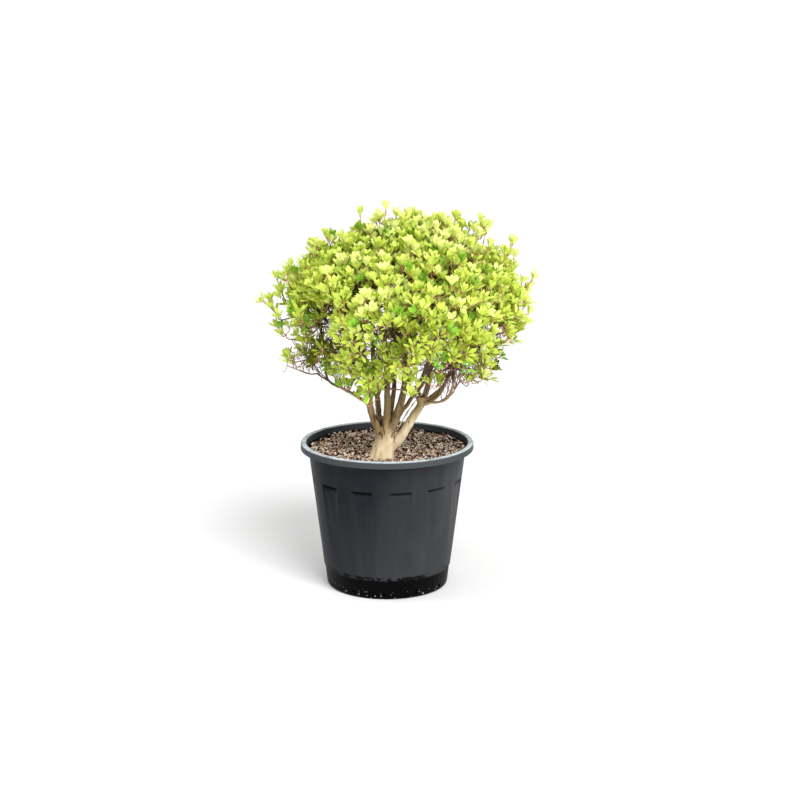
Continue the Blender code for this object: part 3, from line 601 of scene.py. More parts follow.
pot_mesh = spin_pot()
print("pot:", len(pot_mesh.faces), "faces")

# %% [markdown]
# ## Black plastic
# Nursery pots are polypropylene with carbon black. New, it has a satin sheen, and upright streaks
# show where water ran down. The wall is painted darker towards the left and paler towards the
# right: painted light from the right. The lip is painted paler than the wall as painted light, and
# keeps a strip below it in shade. The rim's top is painted a pale bluish grey: dust, and a painted
# reflection of the sky. The foot is painted near black as painted shade, with an uneven upper edge,
# and specks of mud lie near the ground.
#
# Such a finish could be painted by hand. Masks for height, streaks and blotches keep it even all
# round and easy to change, and each layer, whether dirt, painted light or painted shade, is one
# mask and one colour.

# %% Layers on the plastic
# Painted light and shade: the wall's black is darker towards the left and paler towards the right.
PAINTED_SHADE_BLACKS = ((0.0050, 0.0068, 0.0100), (0.0165, 0.0190, 0.0230))
PAINTED_LIGHT_BLACKS = ((0.0400, 0.0420, 0.0465), (0.0650, 0.0680, 0.0735))
BLOTCH_BLACK = (0.0250, 0.0272, 0.0302)
# Painted light: the lip is painted paler than the wall.
LIP_PAINTED_LIGHT_GREY = (0.0530, 0.0600, 0.0655)
LIP_SHADE = (0.0025, 0.0035, 0.0040)
# Painted shade: the foot band is painted near black, with an uneven upper edge.
FOOT_SHADE_EDGE_BLACK = (0.004, 0.004, 0.004)
FOOT_SHADE_BLACK = (0.0012, 0.0012, 0.0012)
# Dust on the rim's top, with a painted reflection of the sky in its pale bluish grey.
DUST_AND_SKY_REFLECTION_GREY = (0.60, 0.665, 0.70)
MUD_BROWN = (0.42, 0.36, 0.29)
SHADE_UNDER_LIP = 0.011
DUST_AND_REFLECTION_FROM = 0.374
FOOT_SHADE_TOP = 0.050
FOOT_SHADE_EDGE_TOP = 0.060
MUD_TOP = 0.004


def lip_layers(tree):
    """The lip painted paler than the wall, as painted light, and the shade that it throws on the
    wall.
    """
    below_lip = mask_of(tree, "height_band", Edge=LIP_LOW, Fade=0.0008)
    well_below = mask_of(tree, "height_band", Edge=LIP_LOW - SHADE_UNDER_LIP, Fade=0.008)
    shade = product(tree, below_lip, inverse(tree, well_below))
    return (inverse(tree, below_lip), LIP_PAINTED_LIGHT_GREY), (shade, LIP_SHADE)


def dirt_and_painted_light_layers(tree):
    """Painted shade at the foot with an uneven upper edge, dust with a painted sky reflection on
    the rim, and specks of mud near the ground.
    """
    # Painted shade at the foot; patches make its upper edge uneven.
    foot_shade_edge = product(
        tree, mask_of(tree, "patches", Scale=30.0, Low=0.47, High=0.50),
        mask_of(tree, "height_band", Edge=FOOT_SHADE_EDGE_TOP, Fade=0.006))
    foot_shade = mask_of(tree, "height_band", Edge=FOOT_SHADE_TOP, Fade=0.006)
    # Dust and a painted reflection of the sky, on the rim's upward faces.
    dust_and_sky_reflection = product(
        tree, mask_of(tree, "upward", Low=0.35, High=0.9),
        mask_of(tree, "patches", Scale=45.0, Low=0.05, High=0.60),
        inverse(tree, mask_of(tree, "height_band", Edge=DUST_AND_REFLECTION_FROM, Fade=0.003)))
    mud = product(
        tree, mask_of(tree, "specks", Scale=190.0, Size=0.33, Share=0.16),
        mask_of(tree, "height_band", Edge=MUD_TOP, Fade=0.022))
    return (foot_shade_edge, FOOT_SHADE_EDGE_BLACK), (foot_shade, FOOT_SHADE_BLACK), (dust_and_sky_reflection, DUST_AND_SKY_REFLECTION_GREY), (mud, MUD_BROWN)


print("plastic: layers ready")

# %% [markdown]
# The layers are stacked from the clean wall upwards. The sheen varies a little with the streaks,
# and long waves, scratches and grain are bumps, because they are far thinner than the wall.

# %% Black plastic
def black_plastic():
    """Streaky satin plastic with painted light on the right, dust and a painted sky reflection on
    the rim, and painted shade at the foot.
    """
    material, tree, shader = new_material("black_plastic", roughness=0.42, specular=0.04)
    streaks = mask_of(tree, "patches", Scale=26.0, Stretch=0.10, Low=0.35, High=0.75)
    blotches = mask_of(tree, "patches", Scale=7.0, Stretch=0.6, Low=0.3, High=0.8)
    # Painted light: the wall gets paler towards the right, where the light falls.
    painted_light_side = mask_of(tree, "height_band", Edge=-0.02, Fade=0.40, Lean=1.5)
    colour = lay_over(tree, mix_colours(tree, streaks, *PAINTED_SHADE_BLACKS), (
        (painted_light_side, mix_colours(tree, streaks, *PAINTED_LIGHT_BLACKS)), (blotches, BLOTCH_BLACK),
        *lip_layers(tree), *dirt_and_painted_light_layers(tree)))
    tree.links.new(colour, shader.inputs["Base Color"])
    dullness = add_node(
        tree, "ShaderNodeMapRange", {"To Min": 0.40, "To Max": 0.56},
        {"Value": product(tree, streaks, blotches)})
    tree.links.new(dullness.outputs[0], shader.inputs["Roughness"])
    waves = mask_of(tree, "patches", Scale=9.0, Stretch=0.5, Low=0.2, High=0.8)
    scratches = mask_of(tree, "patches", Scale=160.0, Stretch=0.06, Low=0.66, High=0.72)
    grain = mask_of(tree, "patches", Scale=900.0, Low=0.3, High=0.7)
    add_relief(tree, shader, ((waves, 0.0006), (scratches, 0.00006), (grain, 0.00003)))
    return material


pot = object_from(pot_mesh, "pot_moulding", black_plastic())
print("plastic:", len(pot.data.materials), "material")

# %% [markdown]
# The drain holes go through the foot band between the panels. A Boolean with one mesh of short
# rods makes them all at once, and it is worked in here so that no helper is left in the scene.

# %% Drain holes
HOLE_RADIUS = 0.0050
HOLE_HEIGHT = 0.0150
HOLE_LENGTH = 0.030
HOLE_OFFSET = math.radians(2.0)
HOLE_SIDES = 20


def evaluated_mesh(piece):
    """The piece's mesh with its modifiers worked in."""
    bpy.context.view_layer.update()
    depsgraph = bpy.context.evaluated_depsgraph_get()
    return bpy.data.meshes.new_from_object(piece.evaluated_get(depsgraph))


def drain_rods():
    """Twelve short rods that point outwards through the foot band."""
    bm = bmesh.new()
    lay_down = Matrix.Rotation(math.pi / 2, 4, 'Y')
    for hole in range(PANEL_COUNT):
        angle = PANEL_PHASE + (hole + 0.5) * PANEL_PITCH + HOLE_OFFSET
        out = Matrix.Translation((WALL_FOOT_RADIUS - FOOT_TAPER, 0, HOLE_HEIGHT))
        bmesh.ops.create_cone(
            bm, cap_ends=True, segments=HOLE_SIDES, radius1=HOLE_RADIUS, radius2=HOLE_RADIUS,
            depth=HOLE_LENGTH, matrix=Matrix.Rotation(angle, 4, 'Z') @ out @ lay_down)
    return object_from(bm, "drain_rods", pot.data.materials[0])


rods = drain_rods()
drill = pot.modifiers.new("drain holes", 'BOOLEAN')
drill.operation = 'DIFFERENCE'
drill.object = rods
pot.data = evaluated_mesh(pot)
pot.modifiers.clear()
bpy.data.objects.remove(rods)
finish_piece(pot, ["pot"])

# %% [markdown]
# ## Compost
# What shows is a rough bed of bark chips. The bed itself is a plug that fills the pot, turned on
# the same lathe, with its top roughened by noise. Its dark compost is painted nearly black, as the
# painted shade in the gaps between the chips, because that is what shows of it.

# %% The bed
BED_COLUMNS = 220
BED_RINGS = 58
BED_CLEARANCE = 0.0006
BED_FOOT = FLOOR_THICKNESS + 0.001
BED_ROUGHNESS = 0.0042
CRUMBS_PER_METRE = 70
WAVE_HEIGHT = 0.0016
SOIL_LEVEL = soil_high.z - 0.0015
TRUNK_FOOT = Vector((-0.014, -0.090, trunk_low.z))
TRUNK_CLEAR = 0.030
TRUNK_FADE = 0.060


def bed_height(x, y):
    """Height of the compost: gentle waves, and roughness that dies out at the trunk."""
    wave = math.sin(31 * x + 1.3) * math.cos(27 * y - 0.4) + 0.5 * math.sin(55 * (x - y))
    place = Vector((x * CRUMBS_PER_METRE, y * CRUMBS_PER_METRE, 3.1))
    rough = noise.fractal(place, 0.8, 2.1, 4)
    distance = math.hypot(x - TRUNK_FOOT.x, y - TRUNK_FOOT.y)
    away = smooth_step((distance - TRUNK_CLEAR) / TRUNK_FADE)
    return SOIL_LEVEL + away * WAVE_HEIGHT * wave + BED_ROUGHNESS * rough * (0.4 + 0.6 * away)


def make_bed():
    """The plug of compost as a bmesh."""
    edge = wall_radius(SOIL_LEVEL) - WALL_THICKNESS - BED_CLEARANCE
    foot = WALL_FOOT_RADIUS - FOOT_TAPER - WALL_THICKNESS - PANEL_DEPTH
    step = wall_radius(PANEL_TOP) - WALL_THICKNESS
    section = [
        (0.0, BED_FOOT), (foot - 0.006, BED_FOOT), (foot, 0.018),
        (step - PANEL_DEPTH - POCKET_DEPTH - 0.001, PANEL_TOP),
        (step - BED_CLEARANCE, PANEL_TOP + 0.010),
        (edge, SOIL_LEVEL - 0.004),
    ]
    section += [(edge * (1 - i / BED_RINGS), SOIL_LEVEL) for i in range(BED_RINGS + 1)]
    bm = bmesh.new()
    points = [bm.verts.new((radius, 0, height)) for radius, height in section]
    edges = [bm.edges.new(pair) for pair in zip(points, points[1:])]
    bmesh.ops.spin(
        bm, geom=points + edges, cent=(0, 0, 0), axis=(0, 0, 1), angle=math.tau,
        steps=BED_COLUMNS, use_merge=True)
    bmesh.ops.remove_doubles(bm, verts=bm.verts, dist=0.00005)
    for vertex in bm.verts:
        if vertex.co.z > SOIL_LEVEL - 0.002:
            vertex.co.z = bed_height(vertex.co.x, vertex.co.y)
    bmesh.ops.recalc_face_normals(bm, faces=bm.faces)
    return bm


# Dark compost painted nearly black as the shade in the gaps between the chips.
compost_and_gap_shade_finish = mottled(
    "compost_and_gap_shade", roughness=0.95, specular=0.05,
    colours=((0.006, 0.001, 0.0004), (0.050, 0.020, 0.009)),
    patches={"Scale": 260.0, "Low": 0.35, "High": 0.65}, relief=0.0015)
finish_piece(object_from(make_bed(), "compost_bed", compost_and_gap_shade_finish), ["soil"])

# %% [markdown]
# ## Many small copies
# Chips and leaves come in thousands. A bmesh operator makes each basic shape once. Copies of its
# points are then turned, scaled and placed with numpy, and all copies of one kind are gathered
# into one mesh, because separate objects would be slow.

# %% Gathering copies
class Stock:
    """Points and triangles of many small copies, gathered for one mesh."""

    def __init__(self, name):
        self.name = name
        self.points = []
        self.faces = []
        self.count = 0

    def place(self, shape, turns, sizes, places):
        """Add one copy of a shape for each turn (3x3), size (3 factors) and place."""
        turns, sizes, places = np.array(turns), np.array(sizes), np.array(places)
        points, faces = shape
        scaled = points[None, :, :] * sizes[:, None, :]
        placed = np.einsum("nij,nkj->nki", turns, scaled) + places[:, None, :]
        shifts = self.count + np.arange(len(turns)) * len(points)
        self.points.append(placed.reshape(-1, 3))
        self.faces.append((faces[None, :, :] + shifts[:, None, None]).reshape(-1, 3))
        self.count += len(turns) * len(points)

    def make(self, material, smooth=True):
        """The mesh object of everything gathered."""
        points = np.concatenate(self.points).astype(np.float32)
        faces = np.concatenate(self.faces).astype(np.int32)
        mesh = bpy.data.meshes.new(self.name)
        mesh.vertices.add(len(points))
        mesh.vertices.foreach_set("co", points.ravel())
        mesh.loops.add(faces.size)
        mesh.loops.foreach_set("vertex_index", faces.ravel())
        mesh.polygons.add(len(faces))
        mesh.polygons.foreach_set("loop_start", np.arange(0, faces.size, 3, dtype=np.int32))
        mesh.update(calc_edges=True)
        if smooth:
            mesh.shade_smooth()
        else:
            mesh.shade_flat()
        mesh.materials.append(material)
        return put_in_scene(self.name, mesh)


def arrays_of(bm):
    """Points and triangles of a bmesh as arrays; the bmesh is freed."""
    bmesh.ops.triangulate(bm, faces=bm.faces)
    bm.verts.index_update()
    points = np.array([vertex.co[:] for vertex in bm.verts])
    faces = np.array([[vertex.index for vertex in face.verts] for face in bm.faces])
    bm.free()
    return points, faces


print("copies: ready")

# %% [markdown]
# ## Bark chips
# A chip is a small flake with broken corners: the convex hull of a few random points in a flat
# box has just that look and only about a dozen faces. Every copy gets a turn of its own.

# %% One chip
CHIP_SHAPES = 8
CHIP_CORNERS = 9


def chip_shape(seed):
    """One chip of unit length, width and height."""
    dice = random.Random(f"chip {seed}")
    bm = bmesh.new()
    for corner in range(CHIP_CORNERS):
        x = dice.uniform(-0.5, 0.5)
        y = dice.uniform(-0.5, 0.5) * (1 - 0.7 * abs(x))
        bm.verts.new((x, y, dice.choice((-0.5, 0.5)) * dice.uniform(0.6, 1.0)))
    hull = bmesh.ops.convex_hull(bm, input=bm.verts)
    bmesh.ops.delete(bm, geom=hull["geom_interior"], context='VERTS')
    bmesh.ops.recalc_face_normals(bm, faces=bm.faces)
    return arrays_of(bm)


def turn_matrices(yaw, tilt, roll):
    """Arrays of 3x3 turns: roll about X, then tilt about Y, then yaw about Z."""
    turns = np.empty((len(yaw), 3, 3))
    cz, sz, cy, sy, cx, sx = (
        np.cos(yaw), np.sin(yaw), np.cos(tilt), np.sin(tilt), np.cos(roll), np.sin(roll))
    turns[:, 0] = np.stack((cz * cy, cz * sy * sx - sz * cx, cz * sy * cx + sz * sx), axis=1)
    turns[:, 1] = np.stack((sz * cy, sz * sy * sx + cz * cx, sz * sy * cx - cz * sx), axis=1)
    turns[:, 2] = np.stack((-sy, cy * sx, cy * cx), axis=1)
    return turns


chip_shapes = [chip_shape(seed) for seed in range(CHIP_SHAPES)]
print("chip:", len(chip_shapes[0][1]), "triangles")

# %% [markdown]
# The chips are strewn evenly over the bed, clear of the trunk, and pile up a little at the wall.
# Most lie flat and some stand up. They are dealt out to four tones, from wet and dark to dry and
# pale. The pale ones are longer and narrower, and lie a little higher.

# %% Bark chips
CHIP_SEED = 21
CHIP_COUNT = 9200
CHIP_LENGTH = 0.0066
CHIP_LENGTH_SPREAD = 0.42
CHIP_LENGTH_LIMITS = (0.003, 0.018)
CHIP_WIDTHS = (0.35, 0.75)
CHIP_HEIGHTS = (0.10, 0.28)
CHIP_TILT = 0.38
CHIP_ROLL = 0.45
CHIP_LIFT = 0.0042
CHIPS_FROM_TRUNK = 0.031
CHIPS_FROM_WALL = 0.0015
PILE_HEIGHT = 0.004
PILE_WIDTH = 0.008
PALE_TONE = 3
PALE_STRETCH = (1.25, 0.75, 1.0)
PALE_LIFT = 0.0012
CHIP_TONES = {
    "chips_dark": ((0.020, 0.005, 0.001), (0.120, 0.044, 0.022), 0.36),
    "chips_brown": ((0.42, 0.220, 0.132), (0.64, 0.390, 0.270), 0.24),
    "chips_tan": ((0.86, 0.590, 0.420), (0.98, 0.76, 0.59), 0.20),
    "chips_pale": ((1.00, 0.85, 0.69), (1.00, 0.97, 0.89), 0.20),
}


def strew_chips():
    """Turn, size, place, tone and shape of every chip."""
    rng = np.random.default_rng(CHIP_SEED)
    reach = wall_radius(SOIL_LEVEL) - WALL_THICKNESS - CHIPS_FROM_WALL
    radius = reach * np.sqrt(rng.random(CHIP_COUNT))
    angle = rng.random(CHIP_COUNT) * math.tau
    x, y = radius * np.cos(angle), radius * np.sin(angle)
    away = np.hypot(x - TRUNK_FOOT.x, y - TRUNK_FOOT.y) > CHIPS_FROM_TRUNK
    x, y = x[away], y[away]
    count = len(x)
    heights = np.array([bed_height(a, b) for a, b in zip(x, y)])
    length = rng.lognormal(math.log(CHIP_LENGTH), CHIP_LENGTH_SPREAD, count)
    length = np.clip(length, *CHIP_LENGTH_LIMITS)
    sizes = np.stack((length, length * rng.uniform(*CHIP_WIDTHS, count),
                      length * rng.uniform(*CHIP_HEIGHTS, count)), axis=1)
    turns = turn_matrices(
        rng.random(count) * math.tau, rng.normal(0, CHIP_TILT, count),
        rng.normal(0, CHIP_ROLL, count))
    places = np.stack((x, y, heights + rng.uniform(0.0, CHIP_LIFT, count)), axis=1)
    tones = rng.choice(len(CHIP_TONES), count, p=[entry[2] for entry in CHIP_TONES.values()])
    shapes = rng.integers(0, CHIP_SHAPES, count)
    sizes[tones == PALE_TONE] *= PALE_STRETCH
    places[:, 2] += np.where(tones == PALE_TONE, PALE_LIFT, 0.0)
    outermost = (np.hypot(x, y) - reach + PILE_WIDTH) / PILE_WIDTH
    places[:, 2] += PILE_HEIGHT * np.clip(outermost, 0, 1)
    return turns, sizes, places, tones, shapes


turns, sizes, places, tones, shapes = strew_chips()
for i, (name, (low, high, share)) in enumerate(CHIP_TONES.items()):
    stock = Stock(name)
    for j, shape in enumerate(chip_shapes):
        mine = (tones == i) & (shapes == j)
        stock.place(shape, turns[mine], sizes[mine], places[mine])
    finish = mottled(
        name, roughness=0.85, specular=0.08, colours=(low, high),
        patches={"Scale": 330.0, "Low": 0.32, "High": 0.68}, relief=0.0006)
    finish_piece(stock.make(finish, smooth=False))

# %% [markdown]
# ## The plan of the plant
# The twigs follow the rule that also made the plain solids. The crown is an ellipsoid, shared out
# among fifteen masses: each has the space nearest to its own centre. A limb feeds each mass and
# ends where it enters it. These sizes are the solids' own, so the limbs lie where they are.

# %% The crown and its masses
CROWN_CENTRE = Vector((0.035, -0.012, 0.770))
CROWN_HALF_X = 0.350
CROWN_HALF_Y = 0.335
CROWN_RISE = 0.250
CROWN_DROP = 0.270
TOP_CENTRE = 0.62
UPPER_RING = {"right": 5, "back_right": 65, "back_left": 125, "left": 185, "front": 245,
              "front_right": 305}
UPPER_ELEVATION = 40
UPPER_CENTRE = 0.70
LOWER_RING = ("right", "back_right", "back", "back_left", "left", "front_left", "front",
              "front_right")
LOWER_PITCH = 45
LOWER_ELEVATION = -12
LOWER_CENTRE = 0.72
LAST_SPAN = 0.035
ENTRY_DEPTH = 0.012


def on_crown(azimuth, elevation, share):
    """A point of the crown's ellipsoid, at a share of the way from its centre."""
    rise = math.sin(elevation)
    flat = math.cos(elevation)
    half_z = CROWN_RISE if rise > 0 else CROWN_DROP
    return CROWN_CENTRE + share * Vector((
        CROWN_HALF_X * flat * math.cos(azimuth), CROWN_HALF_Y * flat * math.sin(azimuth),
        half_z * rise))


def mass_centres():
    """Centre of each mass: one on top, six in an upper ring and eight in a lower ring."""
    centres = {"mass_top": on_crown(0, math.radians(90), TOP_CENTRE)}
    for name, azimuth in UPPER_RING.items():
        centres["mass_upper_" + name] = on_crown(
            math.radians(azimuth), math.radians(UPPER_ELEVATION), UPPER_CENTRE)
    for i, name in enumerate(LOWER_RING):
        centres["mass_" + name] = on_crown(
            math.radians(LOWER_PITCH * i), math.radians(LOWER_ELEVATION), LOWER_CENTRE)
    return centres


CENTRES = mass_centres()


def clearance(name, point):
    """Distance from a point to the nearest border of a mass's space, negative outside it."""
    own = CENTRES[name]
    return min(
        ((point - other).length_squared - (point - own).length_squared)
        / (2 * (other - own).length)
        for other_name, other in CENTRES.items() if other_name != name)


def owner(point):
    """Name of the mass whose space holds a point."""
    return min(CENTRES, key=lambda name: (point - CENTRES[name]).length_squared)


def entry(name, start):
    """Where a limb that comes from start enters its mass."""
    for step in range(1, 100):
        point = start.lerp(CENTRES[name], step / 100)
        if (point - start).length > LAST_SPAN and clearance(name, point) > ENTRY_DEPTH:
            return point
    return CENTRES[name].copy()


print("crown:", len(CENTRES), "masses")

# %% [markdown]
# ## Trunk and limbs
# Each limb is a few bends that were read off the plant, and a smooth curve through them. On an
# old shrub the limbs don't start at the fork: each one runs on down the trunk as a strand, and
# the strands are fused, which gives the trunk its folds.
#
# The table gives what carries a limb, the mass that it feeds, its radii at foot and tip, and its
# bends. The last bend, where it enters its mass, is worked out.

# %% Limbs
TRUNK_FORK = Vector((-0.001, -0.080, trunk_high.z))
LIMBS = {
    "bough_right": ("trunk", None, (0.0150, 0.0098), (
        (-0.004, -0.088, 0.385), (0.029, -0.092, 0.412), (0.061, -0.100, 0.466),
        (0.094, -0.105, 0.519))),
    "bough_centre": ("trunk", "mass_upper_front", (0.0110, 0.0045), (
        (-0.003, -0.086, 0.425), (0.000, -0.088, 0.470), (0.001, -0.092, 0.530),
        (-0.001, -0.100, 0.610), (-0.012, -0.115, 0.700))),
    "bough_left": ("trunk", "mass_upper_left", (0.0115, 0.0042), (
        (-0.008, -0.084, 0.415), (-0.032, -0.084, 0.462), (-0.044, -0.089, 0.510),
        (-0.045, -0.086, 0.565), (-0.070, -0.065, 0.670))),
    "bough_inner_right": ("trunk", "mass_top", (0.0125, 0.0045), (
        (0.006, -0.078, 0.420), (0.022, -0.069, 0.466), (0.042, -0.055, 0.526),
        (0.048, -0.040, 0.589), (0.042, -0.022, 0.700))),
    "bough_inner_left": ("trunk", "mass_upper_back_left", (0.0090, 0.0040), (
        (-0.007, -0.074, 0.425), (-0.019, -0.060, 0.462), (-0.026, -0.044, 0.531),
        (-0.036, -0.010, 0.620), (-0.040, 0.030, 0.700))),
    "bough_back": ("trunk", "mass_upper_back_right", (0.0080, 0.0040), (
        (0.001, -0.070, 0.425), (0.009, -0.047, 0.470), (0.018, -0.020, 0.531),
        (0.024, 0.020, 0.600), (0.052, 0.060, 0.700))),
    "bough_back_right": ("trunk", "mass_upper_right", (0.0062, 0.0036), (
        (0.012, -0.074, 0.425), (0.032, -0.056, 0.470), (0.062, -0.040, 0.510),
        (0.095, -0.015, 0.570), (0.130, -0.004, 0.680))),
    "bough_right_upper": ("bough_right", "mass_upper_front_right", (0.0082, 0.0040), (
        (0.088, -0.104, 0.508), (0.1055, -0.101, 0.560), (0.112, -0.102, 0.630),
        (0.122, -0.108, 0.710))),
    "bough_right_outer": ("bough_right", "mass_right", (0.0062, 0.0036), (
        (0.088, -0.104, 0.512), (0.116, -0.093, 0.530), (0.143, -0.086, 0.552),
        (0.166, -0.074, 0.590))),
    "bough_right_low": ("bough_right", "mass_front_right", (0.0045, 0.0032), (
        (0.088, -0.108, 0.509), (0.112, -0.118, 0.519), (0.140, -0.130, 0.526),
        (0.162, -0.145, 0.548))),
    "bough_left_low": ("bough_left", "mass_left", (0.0046, 0.0032), (
        (-0.042, -0.088, 0.498), (-0.058, -0.089, 0.517), (-0.100, -0.086, 0.543),
        (-0.148, -0.078, 0.566))),
    "bough_left_front": ("bough_left", "mass_front_left", (0.0044, 0.0032), (
        (-0.044, -0.088, 0.545), (-0.055, -0.105, 0.562), (-0.075, -0.130, 0.590))),
    "bough_front_low": ("bough_centre", "mass_front", (0.0044, 0.0032), (
        (0.000, -0.092, 0.548), (0.005, -0.115, 0.566), (0.012, -0.150, 0.590))),
    "bough_back_left_low": ("bough_inner_left", "mass_back_left", (0.0048, 0.0032), (
        (-0.024, -0.046, 0.515), (-0.038, -0.022, 0.532), (-0.062, 0.020, 0.560))),
    "bough_back_low": ("bough_back", "mass_back", (0.0048, 0.0032), (
        (0.017, -0.024, 0.520), (0.018, 0.008, 0.538), (0.022, 0.060, 0.565))),
    "bough_back_right_low": ("bough_back_right", "mass_back_right", (0.0044, 0.0032), (
        (0.066, -0.037, 0.513), (0.088, -0.005, 0.533), (0.115, 0.045, 0.568))),
}


def smooth_path(points, steps):
    """Catmull-Rom curve through the points, with the given number of steps in each span."""
    control = [points[0] * 2 - points[1], *points, points[-1] * 2 - points[-2]]
    path = []
    for a, b, c, d in zip(control, control[1:], control[2:], control[3:]):
        for step in range(steps):
            t = step / steps
            path.append(0.5 * (
                2 * b + (c - a) * t + (2 * a - 5 * b + 4 * c - d) * t * t
                + (3 * b - a - 3 * c + d) * t ** 3))
    path.append(points[-1].copy())
    return path


def taper(first, last, count, power=1.0):
    """Radii that fall from first to last along a tube."""
    return [last + (first - last) * (1 - i / (count - 1)) ** power for i in range(count)]


print("limbs:", len(LIMBS))

# %% [markdown]
# A limb is kept as the points of its curve and a radius at each. Its tip, with its direction and
# thickness, is where the twigs of its mass will grow on.

# %% Lay the limbs
LIMB_STEPS = 8
LIMB_TAPER = 0.85


def lay_limbs():
    """The curve and radii of each limb, and the tip that feeds each mass."""
    paths = {}
    tips = {}
    for name, (_, mass, (foot_radius, tip_radius), bends) in LIMBS.items():
        points = [Vector(bend) for bend in bends]
        if mass:
            points.append(entry(mass, points[-1]))
        path = smooth_path(points, LIMB_STEPS)
        paths[name] = (path, taper(foot_radius, tip_radius, len(path), LIMB_TAPER))
        if mass:
            tips[mass] = (path[-1], (path[-1] - path[-2]).normalized(), tip_radius)
    return paths, tips


limb_paths, limb_tips = lay_limbs()
print("limb tips:", len(limb_tips))

# %% [markdown]
# A strand starts near the trunk's foot, on the side where its limb will leave, and comes in to
# the limb's own curve. A core tube fills the middle, and short tubes make the flare at the roots.
# All of them end a little below the compost, so no end shows.

# %% Strands and flare
STRAND_OUT = 0.0155
STRAND_FOOT_RADIUS = 0.0165
STRAND_LEAST_RADIUS = 0.0085
STRAND_END = 4
LIMB_LOOK_AHEAD = 10
CORE_RADII = (0.0290, 0.0205)
CORE_SPANS = 6
ROOT_DEPTH = 0.004
FLARE_ROOTS = 7
FLARE_RADII = (0.0075, 0.0045)
FLARE_BENDS = ((0.014, 0.026), (0.022, 0.012), (0.0285, 0.0035), (0.0335, -ROOT_DEPTH))
DOWN_INTO_COMPOST = Vector((0, 0, -ROOT_DEPTH))


def strand(path, radii):
    """A limb's strand inside the trunk, from the foot to where the limb leaves it."""
    out = (path[LIMB_LOOK_AHEAD] - path[0]).to_2d()
    out = out.normalized() if out.length > 0.004 else Vector((0.0, -1.0))
    side = Vector((out.x, out.y, 0)) * STRAND_OUT
    foot = TRUNK_FOOT + side + DOWN_INTO_COMPOST
    middle = TRUNK_FOOT.lerp(TRUNK_FORK, 0.45) + side * 0.85
    points = smooth_path([foot, middle, path[0] + side * 0.45, path[STRAND_END]], 5)
    end_radius = max(radii[STRAND_END] * 1.04, STRAND_LEAST_RADIUS)
    return points, taper(STRAND_FOOT_RADIUS, end_radius, len(points))


def trunk_core():
    """Tapered tube through the middle of the trunk."""
    points = [TRUNK_FOOT.lerp(TRUNK_FORK, i / CORE_SPANS) for i in range(CORE_SPANS + 1)]
    points[0] = points[0] + DOWN_INTO_COMPOST
    return points, taper(*CORE_RADII, len(points), 0.8)


def flare_root(index):
    """A short root shoulder that slopes from the trunk into the compost."""
    angle = math.tau * (index + 0.3 * math.sin(index * 2.3)) / FLARE_ROOTS
    out = Vector((math.cos(angle), math.sin(angle), 0))
    points = [TRUNK_FOOT + out * reach + Vector((0, 0, rise)) for reach, rise in FLARE_BENDS]
    path = smooth_path(points, 3)
    return path, taper(*FLARE_RADII, len(path))


print("strands:", sum(limb[0] == "trunk" for limb in LIMBS.values()))

# %% [markdown]
# Two more thin stems, a fork and a web at the right, and a few cut stubs, burrs and knots are the
# plant's own marks. They are short tubes like the limbs, so that the skin will fuse them in. The
# table gives their radii at both ends and their bends.

# %% The plant's own marks
MARKS = {
    "cross_branch": ((0.0032, 0.0022), (
        (-0.040, -0.092, 0.546), (-0.004, -0.112, 0.5541), (0.019, -0.115, 0.5548),
        (0.043, -0.112, 0.5515), (0.070, -0.108, 0.5585), (0.098, -0.104, 0.5690))),
    "thin_stem": ((0.0028, 0.0016), (
        (0.012, -0.096, 0.415), (0.0255, -0.100, 0.440), (0.037, -0.104, 0.4617),
        (0.055, -0.110, 0.495), (0.0768, -0.112, 0.5268), (0.0884, -0.110, 0.5471))),
    "stub_left": ((0.0088, 0.0082), (
        (-0.018, -0.068, 0.466), (-0.0190, -0.084, 0.472), (-0.0193, -0.1025, 0.4765))),
    "stub_left_ring": ((0.0058, 0.0050), (
        (-0.0190, -0.088, 0.4730), (-0.0193, -0.098, 0.4760), (-0.0194, -0.1045, 0.4770))),
    "stub_right": ((0.0095, 0.0070), (
        (0.087, -0.103, 0.514), (0.089, -0.110, 0.527), (0.089, -0.117, 0.5370))),
    "burr_a": ((0.0045, 0.0036), (
        (0.082, -0.106, 0.520), (0.0790, -0.114, 0.530), (0.0770, -0.120, 0.5340))),
    "burr_b": ((0.0042, 0.0034), (
        (0.092, -0.108, 0.524), (0.0960, -0.118, 0.532), (0.0975, -0.123, 0.5355))),
    "burr_c": ((0.0036, 0.0030), (
        (0.088, -0.112, 0.530), (0.0840, -0.116, 0.541), (0.0815, -0.118, 0.5450))),
    "knot_a": ((0.0046, 0.0036), (
        (0.020, -0.086, 0.436), (0.0235, -0.098, 0.4415), (0.0245, -0.104, 0.4430))),
    "knot_b": ((0.0036, 0.0030), (
        (0.022, -0.088, 0.452), (0.0275, -0.098, 0.4545), (0.0290, -0.103, 0.4550))),
    "right_fork": ((0.0048, 0.0024), (
        (0.1080, -0.104, 0.5170), (0.1350, -0.100, 0.5356), (0.1531, -0.090, 0.5704),
        (0.1726, -0.085, 0.6036), (0.1916, -0.080, 0.6421))),
    "web_right": ((0.0110, 0.0075), (
        (-0.006, -0.092, 0.362), (0.010, -0.096, 0.388), (0.024, -0.097, 0.414))),
    "stub_low": ((0.0045, 0.0032), (
        (-0.014, -0.088, 0.424), (-0.016, -0.100, 0.432), (-0.017, -0.110, 0.436))),
}


